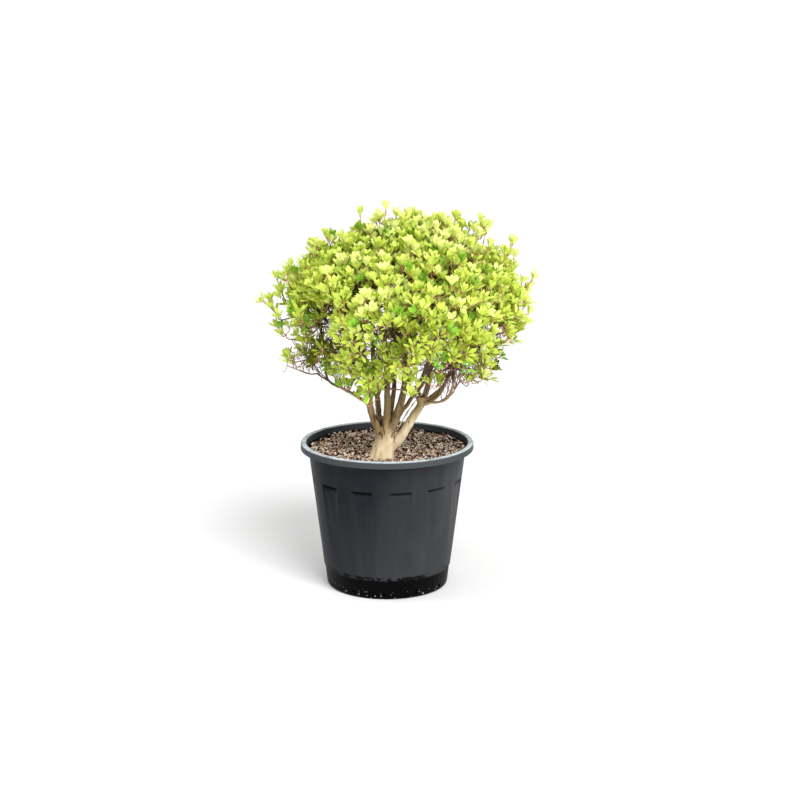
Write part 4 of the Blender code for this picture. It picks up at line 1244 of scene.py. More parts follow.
def all_tubes():
    """Every tube of the wood: limbs, strands, core, flare and marks."""
    tubes = list(limb_paths.values())
    tubes += [
        strand(*limb_paths[name]) for name, limb in LIMBS.items() if limb[0] == "trunk"
    ]
    tubes.append(trunk_core())
    tubes += [flare_root(i) for i in range(FLARE_ROOTS)]
    for (first, last), bends in MARKS.values():
        points = smooth_path([Vector(bend) for bend in bends], 5)
        tubes.append((points, taper(first, last, len(points))))
    return tubes


wood_tubes = all_tubes()
print("wood:", len(wood_tubes), "tubes")

# %% [markdown]
# One curve object holds all the tubes, with its own radius at each point and its ends filled.
# Twigs will be made by the same helper.

# %% Tubes as a mesh
def piece_of_tubes(name, tubes, roundness=0):
    """A mesh object of closed tubes, each made by a spline with a radius at every point."""
    data = bpy.data.curves.new(name, 'CURVE')
    data.dimensions = '3D'
    data.bevel_depth = 1.0
    data.bevel_resolution = roundness
    data.use_fill_caps = True
    for points, radii in tubes:
        spline = data.splines.new('POLY')
        spline.points.add(len(points) - 1)
        for knot, point, radius in zip(spline.points, points, radii):
            knot.co = (*point, 1)
            knot.radius = radius
    curve = put_in_scene(name, data)
    mesh = evaluated_mesh(curve)
    bpy.data.objects.remove(curve)
    mesh.name = name
    mesh.shade_smooth()
    return put_in_scene(name, mesh)


print("tubes: ready")

# %% [markdown]
# A voxel remesh makes one skin of the tubes where they overlap, and smoothing rounds the crotches
# as growth does. Last, every point moves along its normal by noise that is stretched along the
# stems: long low folds, narrow cracks and a few swellings.

# %% The wood's skin
VOXEL = 0.00156
SMOOTHING = 5
FOLD_DEPTH = 0.0009
FOLD_SCALE = Vector((150, 150, 16))
CRACK_DEPTH = 0.0006
CRACK_SCALE = Vector((420, 420, 38))
CRACK_SHARPNESS = 7
LUMP_RELIEF = 0.0012
LUMP_SCALE = 75
LUMPS_FROM = 0.40
LUMPS_FADE = 0.06
THIN_ABOVE = 0.56
THIN_FADE = 0.12
THIN_RELIEF = 0.35


def bark_depth(point, thickness):
    """How far the skin moves along its normal at a point."""
    folds = noise.noise(point * FOLD_SCALE)
    cracks = abs(noise.noise(point * CRACK_SCALE))
    lumps = noise.noise(point * LUMP_SCALE)
    lumps *= smooth_step((point.z - LUMPS_FROM) / LUMPS_FADE)
    rise = FOLD_DEPTH * folds * thickness + LUMP_RELIEF * lumps
    return rise - CRACK_DEPTH * max(0.0, 1 - cracks * CRACK_SHARPNESS) * thickness


def carve_bark(mesh):
    """Move every point of the skin along its normal by the bark's relief."""
    normals = [vertex.normal.copy() for vertex in mesh.vertices]
    places = []
    for vertex, normal in zip(mesh.vertices, normals):
        thick = smooth_step((THIN_ABOVE - vertex.co.z) / THIN_FADE)
        thickness = THIN_RELIEF + (1 - THIN_RELIEF) * thick
        place = vertex.co + normal * bark_depth(vertex.co, thickness)
        place.z = max(place.z, trunk_low.z - 0.003)
        places.extend(place)
    mesh.vertices.foreach_set("co", places)
    mesh.update()


def grow_skin(tubes):
    """One closed skin round all the tubes, with the bark's relief in it."""
    skin = piece_of_tubes("bark", tubes, roundness=3)
    remesh = skin.modifiers.new("one skin", 'REMESH')
    remesh.mode = 'VOXEL'
    remesh.voxel_size = VOXEL
    soften = skin.modifiers.new("rounded crotches", 'SMOOTH')
    soften.factor = 0.5
    soften.iterations = SMOOTHING
    skin.data = evaluated_mesh(skin)
    skin.modifiers.clear()
    skin.data.name = "bark"
    carve_bark(skin.data)
    skin.data.shade_smooth()
    return skin


bark = grow_skin(wood_tubes)
print("bark:", len(bark.data.vertices), "points")

# %% [markdown]
# ## Bark
# At the foot the bark is smooth and cream. Higher up it turns tan, then grey and olive: partly the
# stems' own colour and partly painted shade of the crown. It is darker in upright streaks, and
# stains and small dark scars break it up. Height bands choose the colour, because that is how the
# tone changes on the real stems.

# %% Bark finish
CREAM = ((0.88, 0.735, 0.495), (0.73, 0.575, 0.360))
TAN = ((0.480, 0.340, 0.165), (0.200, 0.120, 0.048))
# Grey and olive, partly painted shade of the crown.
GREY = ((0.265, 0.175, 0.088), (0.080, 0.046, 0.020))
STAIN_ON_GREY = (0.24, 0.19, 0.085)
STAIN_ON_CREAM = (0.55, 0.42, 0.24)
SCAR = (0.11, 0.070, 0.040)


def bark_finish():
    """Cream bark that darkens up the stems."""
    material, tree, shader = new_material("bark", roughness=0.8, specular=0.2)
    low = product(
        tree, mask_of(tree, "height_band", Edge=0.409, Fade=0.040, Lean=0.75),
        mask_of(tree, "height_band", Edge=0.495, Fade=0.035))
    high = mask_of(tree, "height_band", Edge=0.440, Fade=0.110, Lean=0.35)
    streaks = mask_of(tree, "patches", Scale=120.0, Stretch=0.12, Low=0.38, High=0.68)
    stains = mask_of(tree, "patches", Scale=34.0, Stretch=0.5, Low=0.48, High=0.72)
    scars = mask_of(tree, "specks", Scale=125.0, Stretch=0.55, Size=0.20, Share=0.10)
    cream, tan, grey = (mix_colours(tree, streaks, *pair) for pair in (CREAM, TAN, GREY))
    stain = mix_colours(tree, low, STAIN_ON_GREY, STAIN_ON_CREAM)
    colour = lay_over(tree, grey, ((high, tan), (low, cream), (stains, stain), (scars, SCAR)))
    tree.links.new(colour, shader.inputs["Base Color"])
    fibres = mask_of(tree, "patches", Scale=520.0, Stretch=0.12, Low=0.3, High=0.7)
    add_relief(tree, shader, ((streaks, 0.0005), (fibres, 0.00025)))
    return material


bark.data.materials.clear()
bark.data.materials.append(bark_finish())
finish_piece(bark, ["trunk", *LIMB_NODES])

# %% [markdown]
# ## Where the twigs go
# Every twig grows to a goal. The main goals are sprays: small tufts of shoots that face outwards
# and up. Single shoots strewn over the crown would be simpler, but a shrub's shoots stand in
# tufts with gaps between them, and that is what the eye sees. A spray's tone says how deep its
# green is, from the sunny top to the shaded foot: partly the young leaves' own paler green, and
# partly painted light on the top and painted shade low down and inside.

# %% Goals and directions
SEED = 4507
GOLDEN = math.pi * (3 - math.sqrt(5))
UP = Vector((0, 0, 1))
TONE_FOOT = 0.60
TONE_SPAN = 0.36
DEEPEST_TONE = 0.80
TONE_SPREAD = 0.18


class Goal:
    """A place that twigs grow to: a spray with shoots of its own, or a shoot's tip."""

    def __init__(self, place, axis, shoots=(), tone=0.0, leafy=True):
        self.place = place
        self.axis = axis
        self.shoots = list(shoots)
        self.tone = tone
        self.leafy = leafy

    def load(self):
        """How many shoots it carries."""
        return len(self.shoots) or 1


def side_vectors(axis):
    """Two directions across an axis."""
    helper = Vector((1, 0, 0)) if abs(axis.x) < 0.8 else Vector((0, 1, 0))
    first = axis.cross(helper).normalized()
    return first, axis.cross(first)


def direction_round(axis, angle):
    """The direction across an axis at an angle round it."""
    first, second = side_vectors(axis)
    return first * math.cos(angle) + second * math.sin(angle)


def jitter(dice, reach):
    """A random vector of about this reach."""
    return Vector((dice.gauss(0, 1), dice.gauss(0, 1), dice.gauss(0, 1))) * reach


def outward_at(point):
    """Direction away from the crown's centre, as its ellipsoid faces there."""
    away = point - CROWN_CENTRE
    half_z = CROWN_RISE if away.z > 0 else CROWN_DROP
    return Vector((away.x / CROWN_HALF_X ** 2, away.y / CROWN_HALF_Y ** 2,
                   away.z / half_z ** 2)).normalized()


def spray_axis(point, lift):
    """A spray faces outwards and up."""
    return (outward_at(point) * (1 - lift) + UP * lift).normalized()


def tone_at(point, dice):
    """How deep a green a spray is, partly as painted light and shade: 0 on the sunny top, 1 low
    down and inside.
    """
    height = (point.z - TONE_FOOT) / TONE_SPAN
    return DEEPEST_TONE - DEEPEST_TONE * height + dice.gauss(0, TONE_SPREAD)


print("goals: ready")

# %% [markdown]
# A spray is a small dome of shoots, packed by the golden angle, which is how a sunflower packs
# its seeds. Outer shoots stand lower and lean outwards, the ones near the top of the crown stand
# nearly upright, and a few shoots rise alone out of the dome.

# %% A spray
DOME_RADIUS = 0.038
DOME_DROP = 0.030
SHOOT_RISE = (-0.024, 0.010)
LONE_SHARE = 0.17
LONE_RISE = (0.010, 0.026)
SHOOT_SCATTER = 0.0035
SHOOT_SPLAY = 0.45
SHOOT_WANDER = 0.13
UPRIGHT_FROM = 0.74
UPRIGHT_FADE = 0.12
LEAST_UPRIGHT = 0.35
MORE_UPRIGHT = 0.6


def make_spray(root, axis, dice, count, radius, height, tone, leafy=True):
    """A dome of shoots above its root."""
    turn = dice.uniform(0, math.tau)
    shoots = []
    for i in range(count):
        share = math.sqrt((i + 0.5) / count)
        across = direction_round(axis, turn + i * GOLDEN) * (radius * share)
        rise = height - DOME_DROP * share * share * radius / DOME_RADIUS
        rise += dice.uniform(*SHOOT_RISE)
        if dice.random() < LONE_SHARE:
            rise += dice.uniform(*LONE_RISE)
        place = root + across + axis * rise + jitter(dice, SHOOT_SCATTER)
        top = smooth_step((root.z - UPRIGHT_FROM) / UPRIGHT_FADE)
        upward = LEAST_UPRIGHT + MORE_UPRIGHT * top
        lean = axis + across.normalized() * (SHOOT_SPLAY * share) + UP * upward
        lean = lean + jitter(dice, SHOOT_WANDER)
        shoots.append(Goal(place, lean.normalized(), tone=tone, leafy=leafy))
    return Goal(root, axis, shoots)


print("sprays: ready")

# %% [markdown]
# ## The dome
# The dome's sprays are spread evenly over the crown, again by the golden angle. How far out they
# start shapes the crown: flat on top, drawn in a little at both sides, with soft lumps all over.

# %% The dome's shape
SIDE_SHARE = 0.79
TOP_SHARE = 0.535
SHOULDER_FULLNESS = 1.7
RIGHT_LEAN = 0.10
LEFT_HOLLOW = 0.135
RIGHT_HOLLOW = 0.070
LUMP_PITCH = 2.4
LUMP_HEIGHT = 0.085


def root_share(azimuth, rise):
    """How far out the sprays start, as a share of the crown's own reach."""
    facing = Vector((math.cos(azimuth), math.sin(azimuth), rise))
    flatness = smooth_step(rise + 0.12) ** SHOULDER_FULLNESS
    lump = noise.noise(facing * LUMP_PITCH)
    lean = RIGHT_LEAN * math.cos(azimuth) * max(0.0, rise)
    band = smooth_step((0.60 - abs(rise - 0.02)) / 0.3)
    hollow = LEFT_HOLLOW if math.cos(azimuth) < 0 else RIGHT_HOLLOW
    lean -= hollow * band * math.cos(azimuth) ** 2
    return SIDE_SHARE + (TOP_SHARE - SIDE_SHARE) * flatness + LUMP_HEIGHT * lump + lean


print("dome: starts at", round(root_share(0, 0), 2), "of its reach on the right")

# %% [markdown]
# Light falls through a real crown in places. There the sprays are leafless and start a little
# further in. The openings at the front are listed, as balls with a centre and a reach.
# Elsewhere noise and chance choose, more often low down and at the two sides. The very
# underside gets no sprays. Each spray has dice of its own, so a change to one leaves the others.

# %% The dome's sprays
SPRAY_COUNT = 296
SPRAY_SEED_STEP = 31
SPRAY_SCATTER = (-0.035, 0.030)
UNDERSIDE_BARE = 0.44
HIGH_LIFT = 0.60
LOW_LIFT = 0.48
SHOOTS_IN_SPRAY = 14
LOW_SHOOTS = 9
LOW_BELOW = -0.2
DOME_SPRAY = {"radius": DOME_RADIUS, "height": 0.048}
OPEN_SPRAY = {"count": 9, "radius": 0.040, "height": 0.036, "leafy": False}
OPEN_INWARD = 0.88
GAP_PITCH = 3.3
GAP_PLACE = Vector((7, 3, 5))
GAP_EDGE = 0.27
HIGH_GAPS = 0.13
FRONT_GAPS = 0.10
SIDE_GAPS = 0.42
OPENINGS = (
    ((0.195, -0.110, 0.628), 0.055), ((0.245, -0.068, 0.620), 0.030),
    ((0.075, -0.190, 0.611), 0.028), ((-0.035, -0.185, 0.664), 0.030),
    ((0.012, -0.169, 0.652), 0.022), ((0.280, -0.015, 0.637), 0.028),
    ((0.119, -0.189, 0.638), 0.020),
)


def is_gap(root, azimuth, rise, dice):
    """Some places stay open: listed ones at the front, and more of them low down."""
    chance = dice.random()
    if any((root - Vector(centre)).length < reach for centre, reach in OPENINGS):
        return True
    facing = Vector((math.cos(azimuth), math.sin(azimuth), rise))
    if noise.noise(facing * GAP_PITCH + GAP_PLACE) > GAP_EDGE:
        return True
    low = HIGH_GAPS + (1 - HIGH_GAPS) * smooth_step((-0.12 - rise) / 0.35)
    return chance < low * (FRONT_GAPS + SIDE_GAPS * math.cos(azimuth) ** 2)


def dome_spray(i):
    """The dome's spray with this number, or None on the bare underside."""
    dice = random.Random(SEED + SPRAY_SEED_STEP * i)
    rise = 1 - 2 * (i + 0.5) / SPRAY_COUNT
    azimuth = i * GOLDEN
    share = root_share(azimuth, rise) + dice.uniform(*SPRAY_SCATTER)
    root = on_crown(azimuth, math.asin(rise), share)
    across = root - CROWN_CENTRE
    if rise < 0 and math.hypot(across.x, across.y) / CROWN_HALF_X < UNDERSIDE_BARE:
        return None
    lift = HIGH_LIFT if rise > 0 else LOW_LIFT
    if is_gap(root, azimuth, rise, dice):
        root = CROWN_CENTRE.lerp(root, OPEN_INWARD)
        return make_spray(
            root, spray_axis(root, lift), dice, tone=dice.choice((0.0, 1.0)), **OPEN_SPRAY)
    count = SHOOTS_IN_SPRAY + dice.randint(-3, 3) if rise > LOW_BELOW else LOW_SHOOTS
    return make_spray(
        root, spray_axis(root, lift), dice, count, tone=tone_at(root, dice), **DOME_SPRAY)


sprays = [spray for spray in map(dome_spray, range(SPRAY_COUNT)) if spray]
print("dome:", len(sprays), "sprays")

# %% [markdown]
# Long shoots give the outline its tufts, and low sprays hang at its lower edge. Those that show
# from the front are listed one by one, each with its number of shoots, and more long shoots are
# strewn over the other sides.

# %% Long shoots and low sprays
LONG_SHOOTS = (
    ((-0.017, 0.000, 1.000), 2), ((-0.016, 0.002, 0.982), 4), ((0.078, 0.000, 0.993), 2),
    ((0.020, 0.000, 0.985), 1), ((0.236, 0.010, 0.948), 4), ((0.258, 0.000, 0.955), 4),
    ((-0.062, 0.000, 0.962), 4), ((0.310, 0.000, 0.895), 4),
    ((-0.268, 0.000, 0.838), 3), ((-0.286, 0.000, 0.806), 4), ((-0.302, 0.000, 0.750), 5),
    ((-0.240, 0.000, 0.848), 4), ((-0.286, 0.000, 0.698), 4), ((-0.262, 0.000, 0.622), 4),
    ((0.368, 0.000, 0.812), 3), ((0.345, 0.000, 0.800), 4), ((0.366, 0.000, 0.735), 3),
    ((0.347, 0.000, 0.728), 3), ((0.330, -0.040, 0.770), 4),
    ((0.340, 0.000, 0.690), 4), ((0.282, 0.000, 0.640), 4), ((-0.154, 0.000, 0.944), 4),
    ((-0.180, 0.000, 0.920), 4),
)
LONG_SPRAY = {"radius": 0.014, "height": 0.040}
LONG_REACH = 0.045
LONG_LIFT = 0.6
YOUNG_TONE = 0.1
STREWN_SHOOTS = 34
STREWN_SPRAY = {"radius": 0.016, "height": 0.040}
STREWN_RISE = (-0.25, 0.97)
STREWN_OUT = 0.10
LOW_SPRAYS = (
    ((-0.125, -0.120, 0.576), 3), ((-0.093, -0.150, 0.562), 4), ((-0.052, -0.190, 0.555), 5),
    ((-0.036, -0.190, 0.594), 3), ((-0.075, -0.170, 0.597), 3), ((-0.022, -0.150, 0.536), 2),
    ((0.065, -0.190, 0.565), 4), ((0.044, -0.190, 0.578), 2), ((0.002, -0.240, 0.658), 4),
    ((0.128, -0.165, 0.568), 3), ((0.150, -0.210, 0.631), 4), ((0.112, -0.220, 0.651), 3),
    ((0.193, -0.130, 0.579), 1), ((0.236, -0.120, 0.572), 2), ((0.256, -0.100, 0.580), 1),
    ((0.258, -0.060, 0.604), 3),
)
LOW_SPRAY = {"radius": 0.022, "height": 0.024}
LOW_TONE = 0.55
TONE_JITTER = 0.15


def edge_sprays(dice):
    """Listed long shoots and strewn ones, each a narrow tuft, and the low sprays."""
    made = []
    for place, count in LONG_SHOOTS:
        tip = Vector(place)
        axis = spray_axis(tip, LONG_LIFT)
        tone = tone_at(tip, dice) - YOUNG_TONE
        made.append(make_spray(tip - axis * LONG_REACH, axis, dice, count, tone=tone, **LONG_SPRAY))
    for i in range(STREWN_SHOOTS):
        rise = dice.uniform(*STREWN_RISE)
        azimuth = dice.uniform(0, math.tau)
        root = on_crown(azimuth, math.asin(rise), root_share(azimuth, rise) + STREWN_OUT)
        axis = spray_axis(root, LONG_LIFT)
        count = dice.choice((2, 3, 4, 5))
        tone = tone_at(root, dice)
        made.append(make_spray(root, axis, dice, count, tone=tone, **STREWN_SPRAY))
    for place, count in LOW_SPRAYS:
        axis = spray_axis(Vector(place), 0.7)
        tone = LOW_TONE + dice.gauss(0, TONE_JITTER)
        made.append(make_spray(Vector(place), axis, dice, count, tone=tone, **LOW_SPRAY))
    return made


spray_dice = random.Random(SEED)
sprays += edge_sprays(spray_dice)
print("with long and low ones:", len(sprays), "sprays")

# %% [markdown]
# An inner layer of small sprays, painted deep green as shade, keeps the eye from looking straight
# through the crown. Leaves fall where light is weak, so bare twigs fill the shaded underside and
# the
# inside: old pale ones below, of which some are listed where they show, and dark ones inside, whose
# brown bark is painted dark as shade.

# %% Inner and bare sprays
# Painted shade: the inner sprays take the deep green.
INNER_SPRAYS = 34
INNER_SPRAY = {"count": 7, "radius": 0.042, "height": 0.036}
INNER_OUT = (0.42, 0.60)
INNER_TONE = 0.95
BARE_SPRAYS = 64
BARE_SPRAY = {"count": 8, "radius": 0.044, "height": 0.044, "tone": 1.0, "leafy": False}
BARE_ELEVATION = (-62, -22)
BARE_OUT = (0.46, 0.80)
DARK_SPRAYS = 46
DARK_SPRAY = {"count": 7, "radius": 0.046, "height": 0.050, "tone": 0.0, "leafy": False}
DARK_ELEVATION = (-25, 65)
DARK_OUT = (0.40, 0.66)
BARE_PLACES = (
    (-0.190, -0.090, 0.600), (-0.165, -0.085, 0.612), (-0.205, -0.060, 0.625),
    (-0.135, -0.075, 0.618), (-0.235, -0.080, 0.618), (0.175, -0.120, 0.575),
    (0.165, -0.085, 0.600), (0.195, -0.075, 0.612), (0.205, -0.130, 0.585),
    (0.150, -0.115, 0.560), (0.140, -0.060, 0.590), (0.222, -0.100, 0.600),
    (-0.030, -0.150, 0.600), (0.015, -0.140, 0.605), (0.060, -0.150, 0.598),
    (0.100, -0.145, 0.600), (0.132, -0.135, 0.578), (0.165, -0.150, 0.605),
    (0.195, -0.125, 0.592), (-0.070, -0.130, 0.612), (0.040, -0.190, 0.640),
)


def inner_sprays(dice):
    """A thin inner layer, painted deep green as shade."""
    made = []
    for i in range(INNER_SPRAYS):
        rise = 1 - 1.25 * (i + 0.5) / INNER_SPRAYS
        root = on_crown(i * GOLDEN + 1.0, math.asin(rise), dice.uniform(*INNER_OUT))
        tone = INNER_TONE + dice.gauss(0, TONE_JITTER)
        made.append(make_spray(root, spray_axis(root, 0.6), dice, tone=tone, **INNER_SPRAY))
    return made


def turned_places(count, first_turn, elevations, shares, dice):
    """Places inside the crown, turned by the golden angle, at random elevations and shares."""
    for i in range(count):
        elevation = math.radians(dice.uniform(*elevations))
        yield on_crown(i * GOLDEN + first_turn, elevation, dice.uniform(*shares))


def bare_sprays(dice):
    """Leafless twigs under the crown and dark ones inside it."""
    places = [Vector(place) for place in BARE_PLACES]
    places += turned_places(BARE_SPRAYS, 0.0, BARE_ELEVATION, BARE_OUT, dice)
    made = [make_spray(root, spray_axis(root, 0.65), dice, **BARE_SPRAY) for root in places]
    for root in turned_places(DARK_SPRAYS, 2.0, DARK_ELEVATION, DARK_OUT, dice):
        made.append(make_spray(root, spray_axis(root, 0.5), dice, **DARK_SPRAY))
    return made


sprays += inner_sprays(spray_dice) + bare_sprays(spray_dice)
goals_of = {name: [] for name in CENTRES}
for spray in sprays:
    goals_of[owner(spray.place)].append(spray)
print("goals:", len(sprays), "sprays,", sum(spray.load() for spray in sprays), "shoots")

# %% [markdown]
# ## How a twig branches
# From a limb's tip the twig heads for the middle of all its goals. Part of the way there it
# forks: the goals are halved across their widest direction, the half most in line goes on as the
# same twig, and the other half branches off. That repeats until one tip is left. A twig's
# thickness follows from how many shoots it still carries, as in a real plant.

# %% Branching
FORK_REACH = 0.42
FORK_WANDER = 0.075
START_INSIDE = 0.006


def halves(goals):
    """Split goals into two groups across their widest direction."""
    spans = []
    for axis in range(3):
        values = [goal.place[axis] for goal in goals]
        spans.append(max(values) - min(values))
    axis = spans.index(max(spans))
    ordered = sorted(goals, key=lambda goal: goal.place[axis])
    middle = len(ordered) // 2
    return ordered[:middle], ordered[middle:]


def mean_place(goals):
    """Middle of some goals."""
    return sum((goal.place for goal in goals), Vector()) / len(goals)


def load_of(goals):
    """Shoots that some goals carry in all."""
    return sum(goal.load() for goal in goals)


def fork_off(here, goals, dice):
    """Where a twig forks, the goals that it goes on to, and those of the branch."""
    fork = here.lerp(mean_place(goals), FORK_REACH)
    fork += jitter(dice, FORK_WANDER * (fork - here).length)
    onward = (fork - here).normalized()
    first, second = halves(goals)
    if (mean_place(second) - fork).angle(onward) < (mean_place(first) - fork).angle(onward):
        first, second = second, first
    return fork, first, second


def grow(start, goals, dice):
    """Runs of twig from start to every shoot's tip: (points, loads, tip's goal)."""
    runs = []
    waiting = [(start, goals)]
    while waiting:
        here, goals = waiting.pop()
        path = [here]
        loads = [load_of(goals)]
        while len(goals) > 1 or goals[0].shoots:
            if len(goals) == 1:
                here, goals = goals[0].place, goals[0].shoots
            else:
                here, goals, branch_goals = fork_off(here, goals, dice)
                waiting.append((here, branch_goals))
            path.append(here)
            loads.append(load_of(goals))
        path.append(goals[0].place)
        loads.append(1)
        runs.append((path, loads, goals[0]))
    return runs


twig_dice = random.Random(SEED + 1)
runs = []
for mass_name, goals in sorted(goals_of.items()):
    tip, heading, tip_radius = limb_tips[mass_name]
    for path, loads, goal in grow(tip - heading * START_INSIDE, goals, twig_dice):
        runs.append((path, loads, goal, tip_radius))
print("twigs:", len(runs))

# %% [markdown]
# Under the crown, left and right of the trunk, bare twigs stand out against the light. They are
# listed one by one, each with its radii, its bends and its number of side shoots.

# %% Twigs listed one by one
HAND_TWIGS = (
    ((0.0026, 0.0010), (
        (-0.100, -0.087, 0.541), (-0.1465, -0.090, 0.5677), (-0.1798, -0.090, 0.5881),
        (-0.1978, -0.092, 0.5893), (-0.2284, -0.095, 0.6005), (-0.2562, -0.100, 0.6136)), 5),
    ((0.0016, 0.0008), (
        (-0.140, -0.089, 0.564), (-0.168, -0.090, 0.5836), (-0.182, -0.090, 0.604),
        (-0.1924, -0.090, 0.6205), (-0.215, -0.092, 0.640)), 4),
    ((0.0015, 0.0007), (
        (-0.115, -0.087, 0.549), (-0.135, -0.088, 0.580), (-0.152, -0.084, 0.615),
        (-0.159, -0.080, 0.650)), 5),
    ((0.0015, 0.0007), (
        (-0.108, -0.087, 0.546), (-0.112, -0.084, 0.585), (-0.118, -0.075, 0.620),
        (-0.1207, -0.070, 0.6427)), 4),
    ((0.0015, 0.0007), (
        (-0.150, -0.088, 0.570), (-0.176, -0.080, 0.594), (-0.198, -0.068, 0.622),
        (-0.2169, -0.060, 0.6407)), 5),
    ((0.0030, 0.0011), (
        (0.1142, -0.113, 0.5200), (0.1400, -0.122, 0.5235), (0.1577, -0.122, 0.5322),
        (0.1677, -0.125, 0.5544), (0.1855, -0.125, 0.5727), (0.1919, -0.130, 0.5791)), 6),
    ((0.0015, 0.0008), (
        (0.1900, -0.129, 0.5770), (0.1985, -0.132, 0.5690), (0.2056, -0.135, 0.5671),
        (0.2157, -0.135, 0.5814), (0.2332, -0.140, 0.6047)), 3),
    ((0.0014, 0.0008), (
        (0.1531, -0.090, 0.5704), (0.1700, -0.092, 0.590), (0.1780, -0.096, 0.622),
        (0.1860, -0.098, 0.650)), 5),
    ((0.0016, 0.0008), (
        (0.150, -0.122, 0.527), (0.160, -0.118, 0.560), (0.163, -0.110, 0.600),
        (0.172, -0.100, 0.640)), 5),
    ((0.0014, 0.0007), (
        (0.158, -0.122, 0.533), (0.176, -0.120, 0.556), (0.186, -0.110, 0.598),
        (0.202, -0.100, 0.632)), 5),
    ((0.0013, 0.0007), (
        (0.095, -0.110, 0.530), (0.110, -0.116, 0.556), (0.118, -0.116, 0.590),
        (0.132, -0.112, 0.622)), 5),
    ((0.0013, 0.0007), (
        (0.142, -0.120, 0.525), (0.138, -0.122, 0.556), (0.144, -0.118, 0.590),
        (0.150, -0.112, 0.612)), 4),
)
print("by hand:", len(HAND_TWIGS), "twigs")

# %% [markdown]
# The listed twigs are smooth curves with a slight wobble. A side shoot sets out sideways
# and turns up, and bears two smaller ones.

# %% Side shoots
HAND_WANDER = 0.0007
SIDE_SHOOT_LENGTH = (0.018, 0.052)
SIDE_SHOOT_STEPS = (0, 0.25, 0.5, 0.75, 1)
SIDE_SHOOT_RADII = (0.0009, 0.0005)
TWIGLETS = 2
TWIGLET_RADII = (0.0007, 0.0004)


def side_shoot(path, dice):
    """A short bare arc off a twig: out to one side and then up."""
    i = dice.randint(len(path) // 4, len(path) - 2)
    along = Vector(path[i + 1] - path[i]).normalized()
    out = direction_round(along, dice.uniform(0, math.tau))
    length = dice.uniform(*SIDE_SHOOT_LENGTH)
    start = Vector(path[i])
    sideways = (along * 0.6 + out * 0.5 + UP * 0.3).normalized()
    elbow = start + sideways * length * 0.5
    upwards = (along * 0.35 + out * 0.25 + UP * 0.9 + jitter(dice, 0.25)).normalized()
    tip = elbow + upwards * length * 0.55
    return np.array(bend_through(start, elbow, tip, SIDE_SHOOT_STEPS))


def lay_hand_twigs(dice):
    """Tubes of the listed twigs, of their side shoots and of the shoots on those."""
    tubes = []
    for (first, last), bends, count in HAND_TWIGS:
        path = smooth_path([Vector(bend) for bend in bends], 4)
        path = np.array([point + jitter(dice, HAND_WANDER) for point in path])
        tubes.append((path, taper(first, last, len(path))))
        for shoot in range(count):
            side = side_shoot(path, dice)
            tubes.append((side, np.linspace(*SIDE_SHOOT_RADII, len(side))))
            for twiglet in range(TWIGLETS):
                small = side_shoot(side, dice)
                tubes.append((small, np.linspace(*TWIGLET_RADII, len(small))))
    return tubes


hand_tubes = lay_hand_twigs(twig_dice)
print("with side shoots:", len(hand_tubes), "tubes")

# %% [markdown]
# ## Twigs as tubes
# Each run becomes a thin tube with four sides, all that such a thin thing needs. The last stretch
# bends up into the shoot's own direction, because young shoots seek the light. The youngest part
# is a separate piece, since it is red or tan where the older wood is brown, and it swells into a
# bud where the leaves stand.

# %% Tubes
SHOOT_RADIUS = 0.00108
LOAD_POWER = 0.27
BARE_TIP = 0.60
YOUNG_LENGTH = (0.022, 0.050)
LEAST_OLD_SHARE = 0.15
BUD_SWELLING = 2.0
RED_SHARE = 0.6
ELBOW_SHARE = 0.55


def curve_run(path, loads, goal):
    """Smooth points along a run and the load at each, the last stretch bent into the shoot."""
    before, tip = path[-2:]
    elbow = tip - goal.axis * (ELBOW_SHARE * (tip - before).length)
    points = smooth_path(path[:-1], 2) if len(path) > 2 else [path[0]]
    counts = []
    for a, b in zip(loads[:-1], loads[1:-1]):
        counts += [a, (a + b) / 2]
    counts.append(loads[-2])
    points += bend_through(before, elbow, tip, (0.33, 0.66, 1.0))
    counts += [1, 1, 1]
    return np.array(points), np.array(counts, dtype=float)


def split_young(path, radii, length):
    """Cut a path where its last stretch of the given length starts."""
    steps = np.linalg.norm(np.diff(path, axis=0), axis=1)
    along = np.concatenate(([0.0], np.cumsum(steps)))
    cut = max(along[-1] - length, along[-1] * LEAST_OLD_SHARE)
    i = int(np.searchsorted(along, cut))
    share = (cut - along[i - 1]) / (along[i] - along[i - 1])
    point = path[i - 1] + (path[i] - path[i - 1]) * share
    radius = radii[i - 1] + (radii[i] - radii[i - 1]) * share
    old = np.vstack((path[:i], point)), np.append(radii[:i], radius)
    young = np.vstack((point, path[i:])), np.append(radius, radii[i:])
    return old, young


def lay_runs(dice):
    """Share the runs out as tubes, and list the place, axis and tone of each whorl to come."""
    whorls = []
    for path, loads, goal, limb_radius in runs:
        points, counts = curve_run(path, loads, goal)
        radii = np.minimum(SHOOT_RADIUS * counts ** LOAD_POWER, limb_radius)
        length = dice.uniform(*YOUNG_LENGTH)
        if not goal.leafy:
            kind = "bare_twigs" if goal.tone > 0.5 else "twigs"
            tubes_of[kind].append((points, radii * np.linspace(1.0, BARE_TIP, len(radii))))
            continue
        radii[-1] *= BUD_SWELLING
        old, young = split_young(points, radii, length)
        tubes_of["twigs"].append(old)
        tubes_of["shoots_red" if dice.random() < RED_SHARE else "shoots_tan"].append(young)
        whorls.append((Vector(points[-1]), goal.axis, goal.tone))
    return whorls


tubes_of = {"twigs": [], "bare_twigs": hand_tubes, "shoots_red": [], "shoots_tan": []}
whorls = lay_runs(twig_dice)
print("tubes:", len(runs), "and", len(whorls), "whorls to come")

# %% [markdown]
# Twigs of this thickness show little but their colour, so each kind is one streaky finish of two
# tones: brown old wood, painted dark as the shade inside the crown, paler bare twigs, and red or
# tan young shoots.

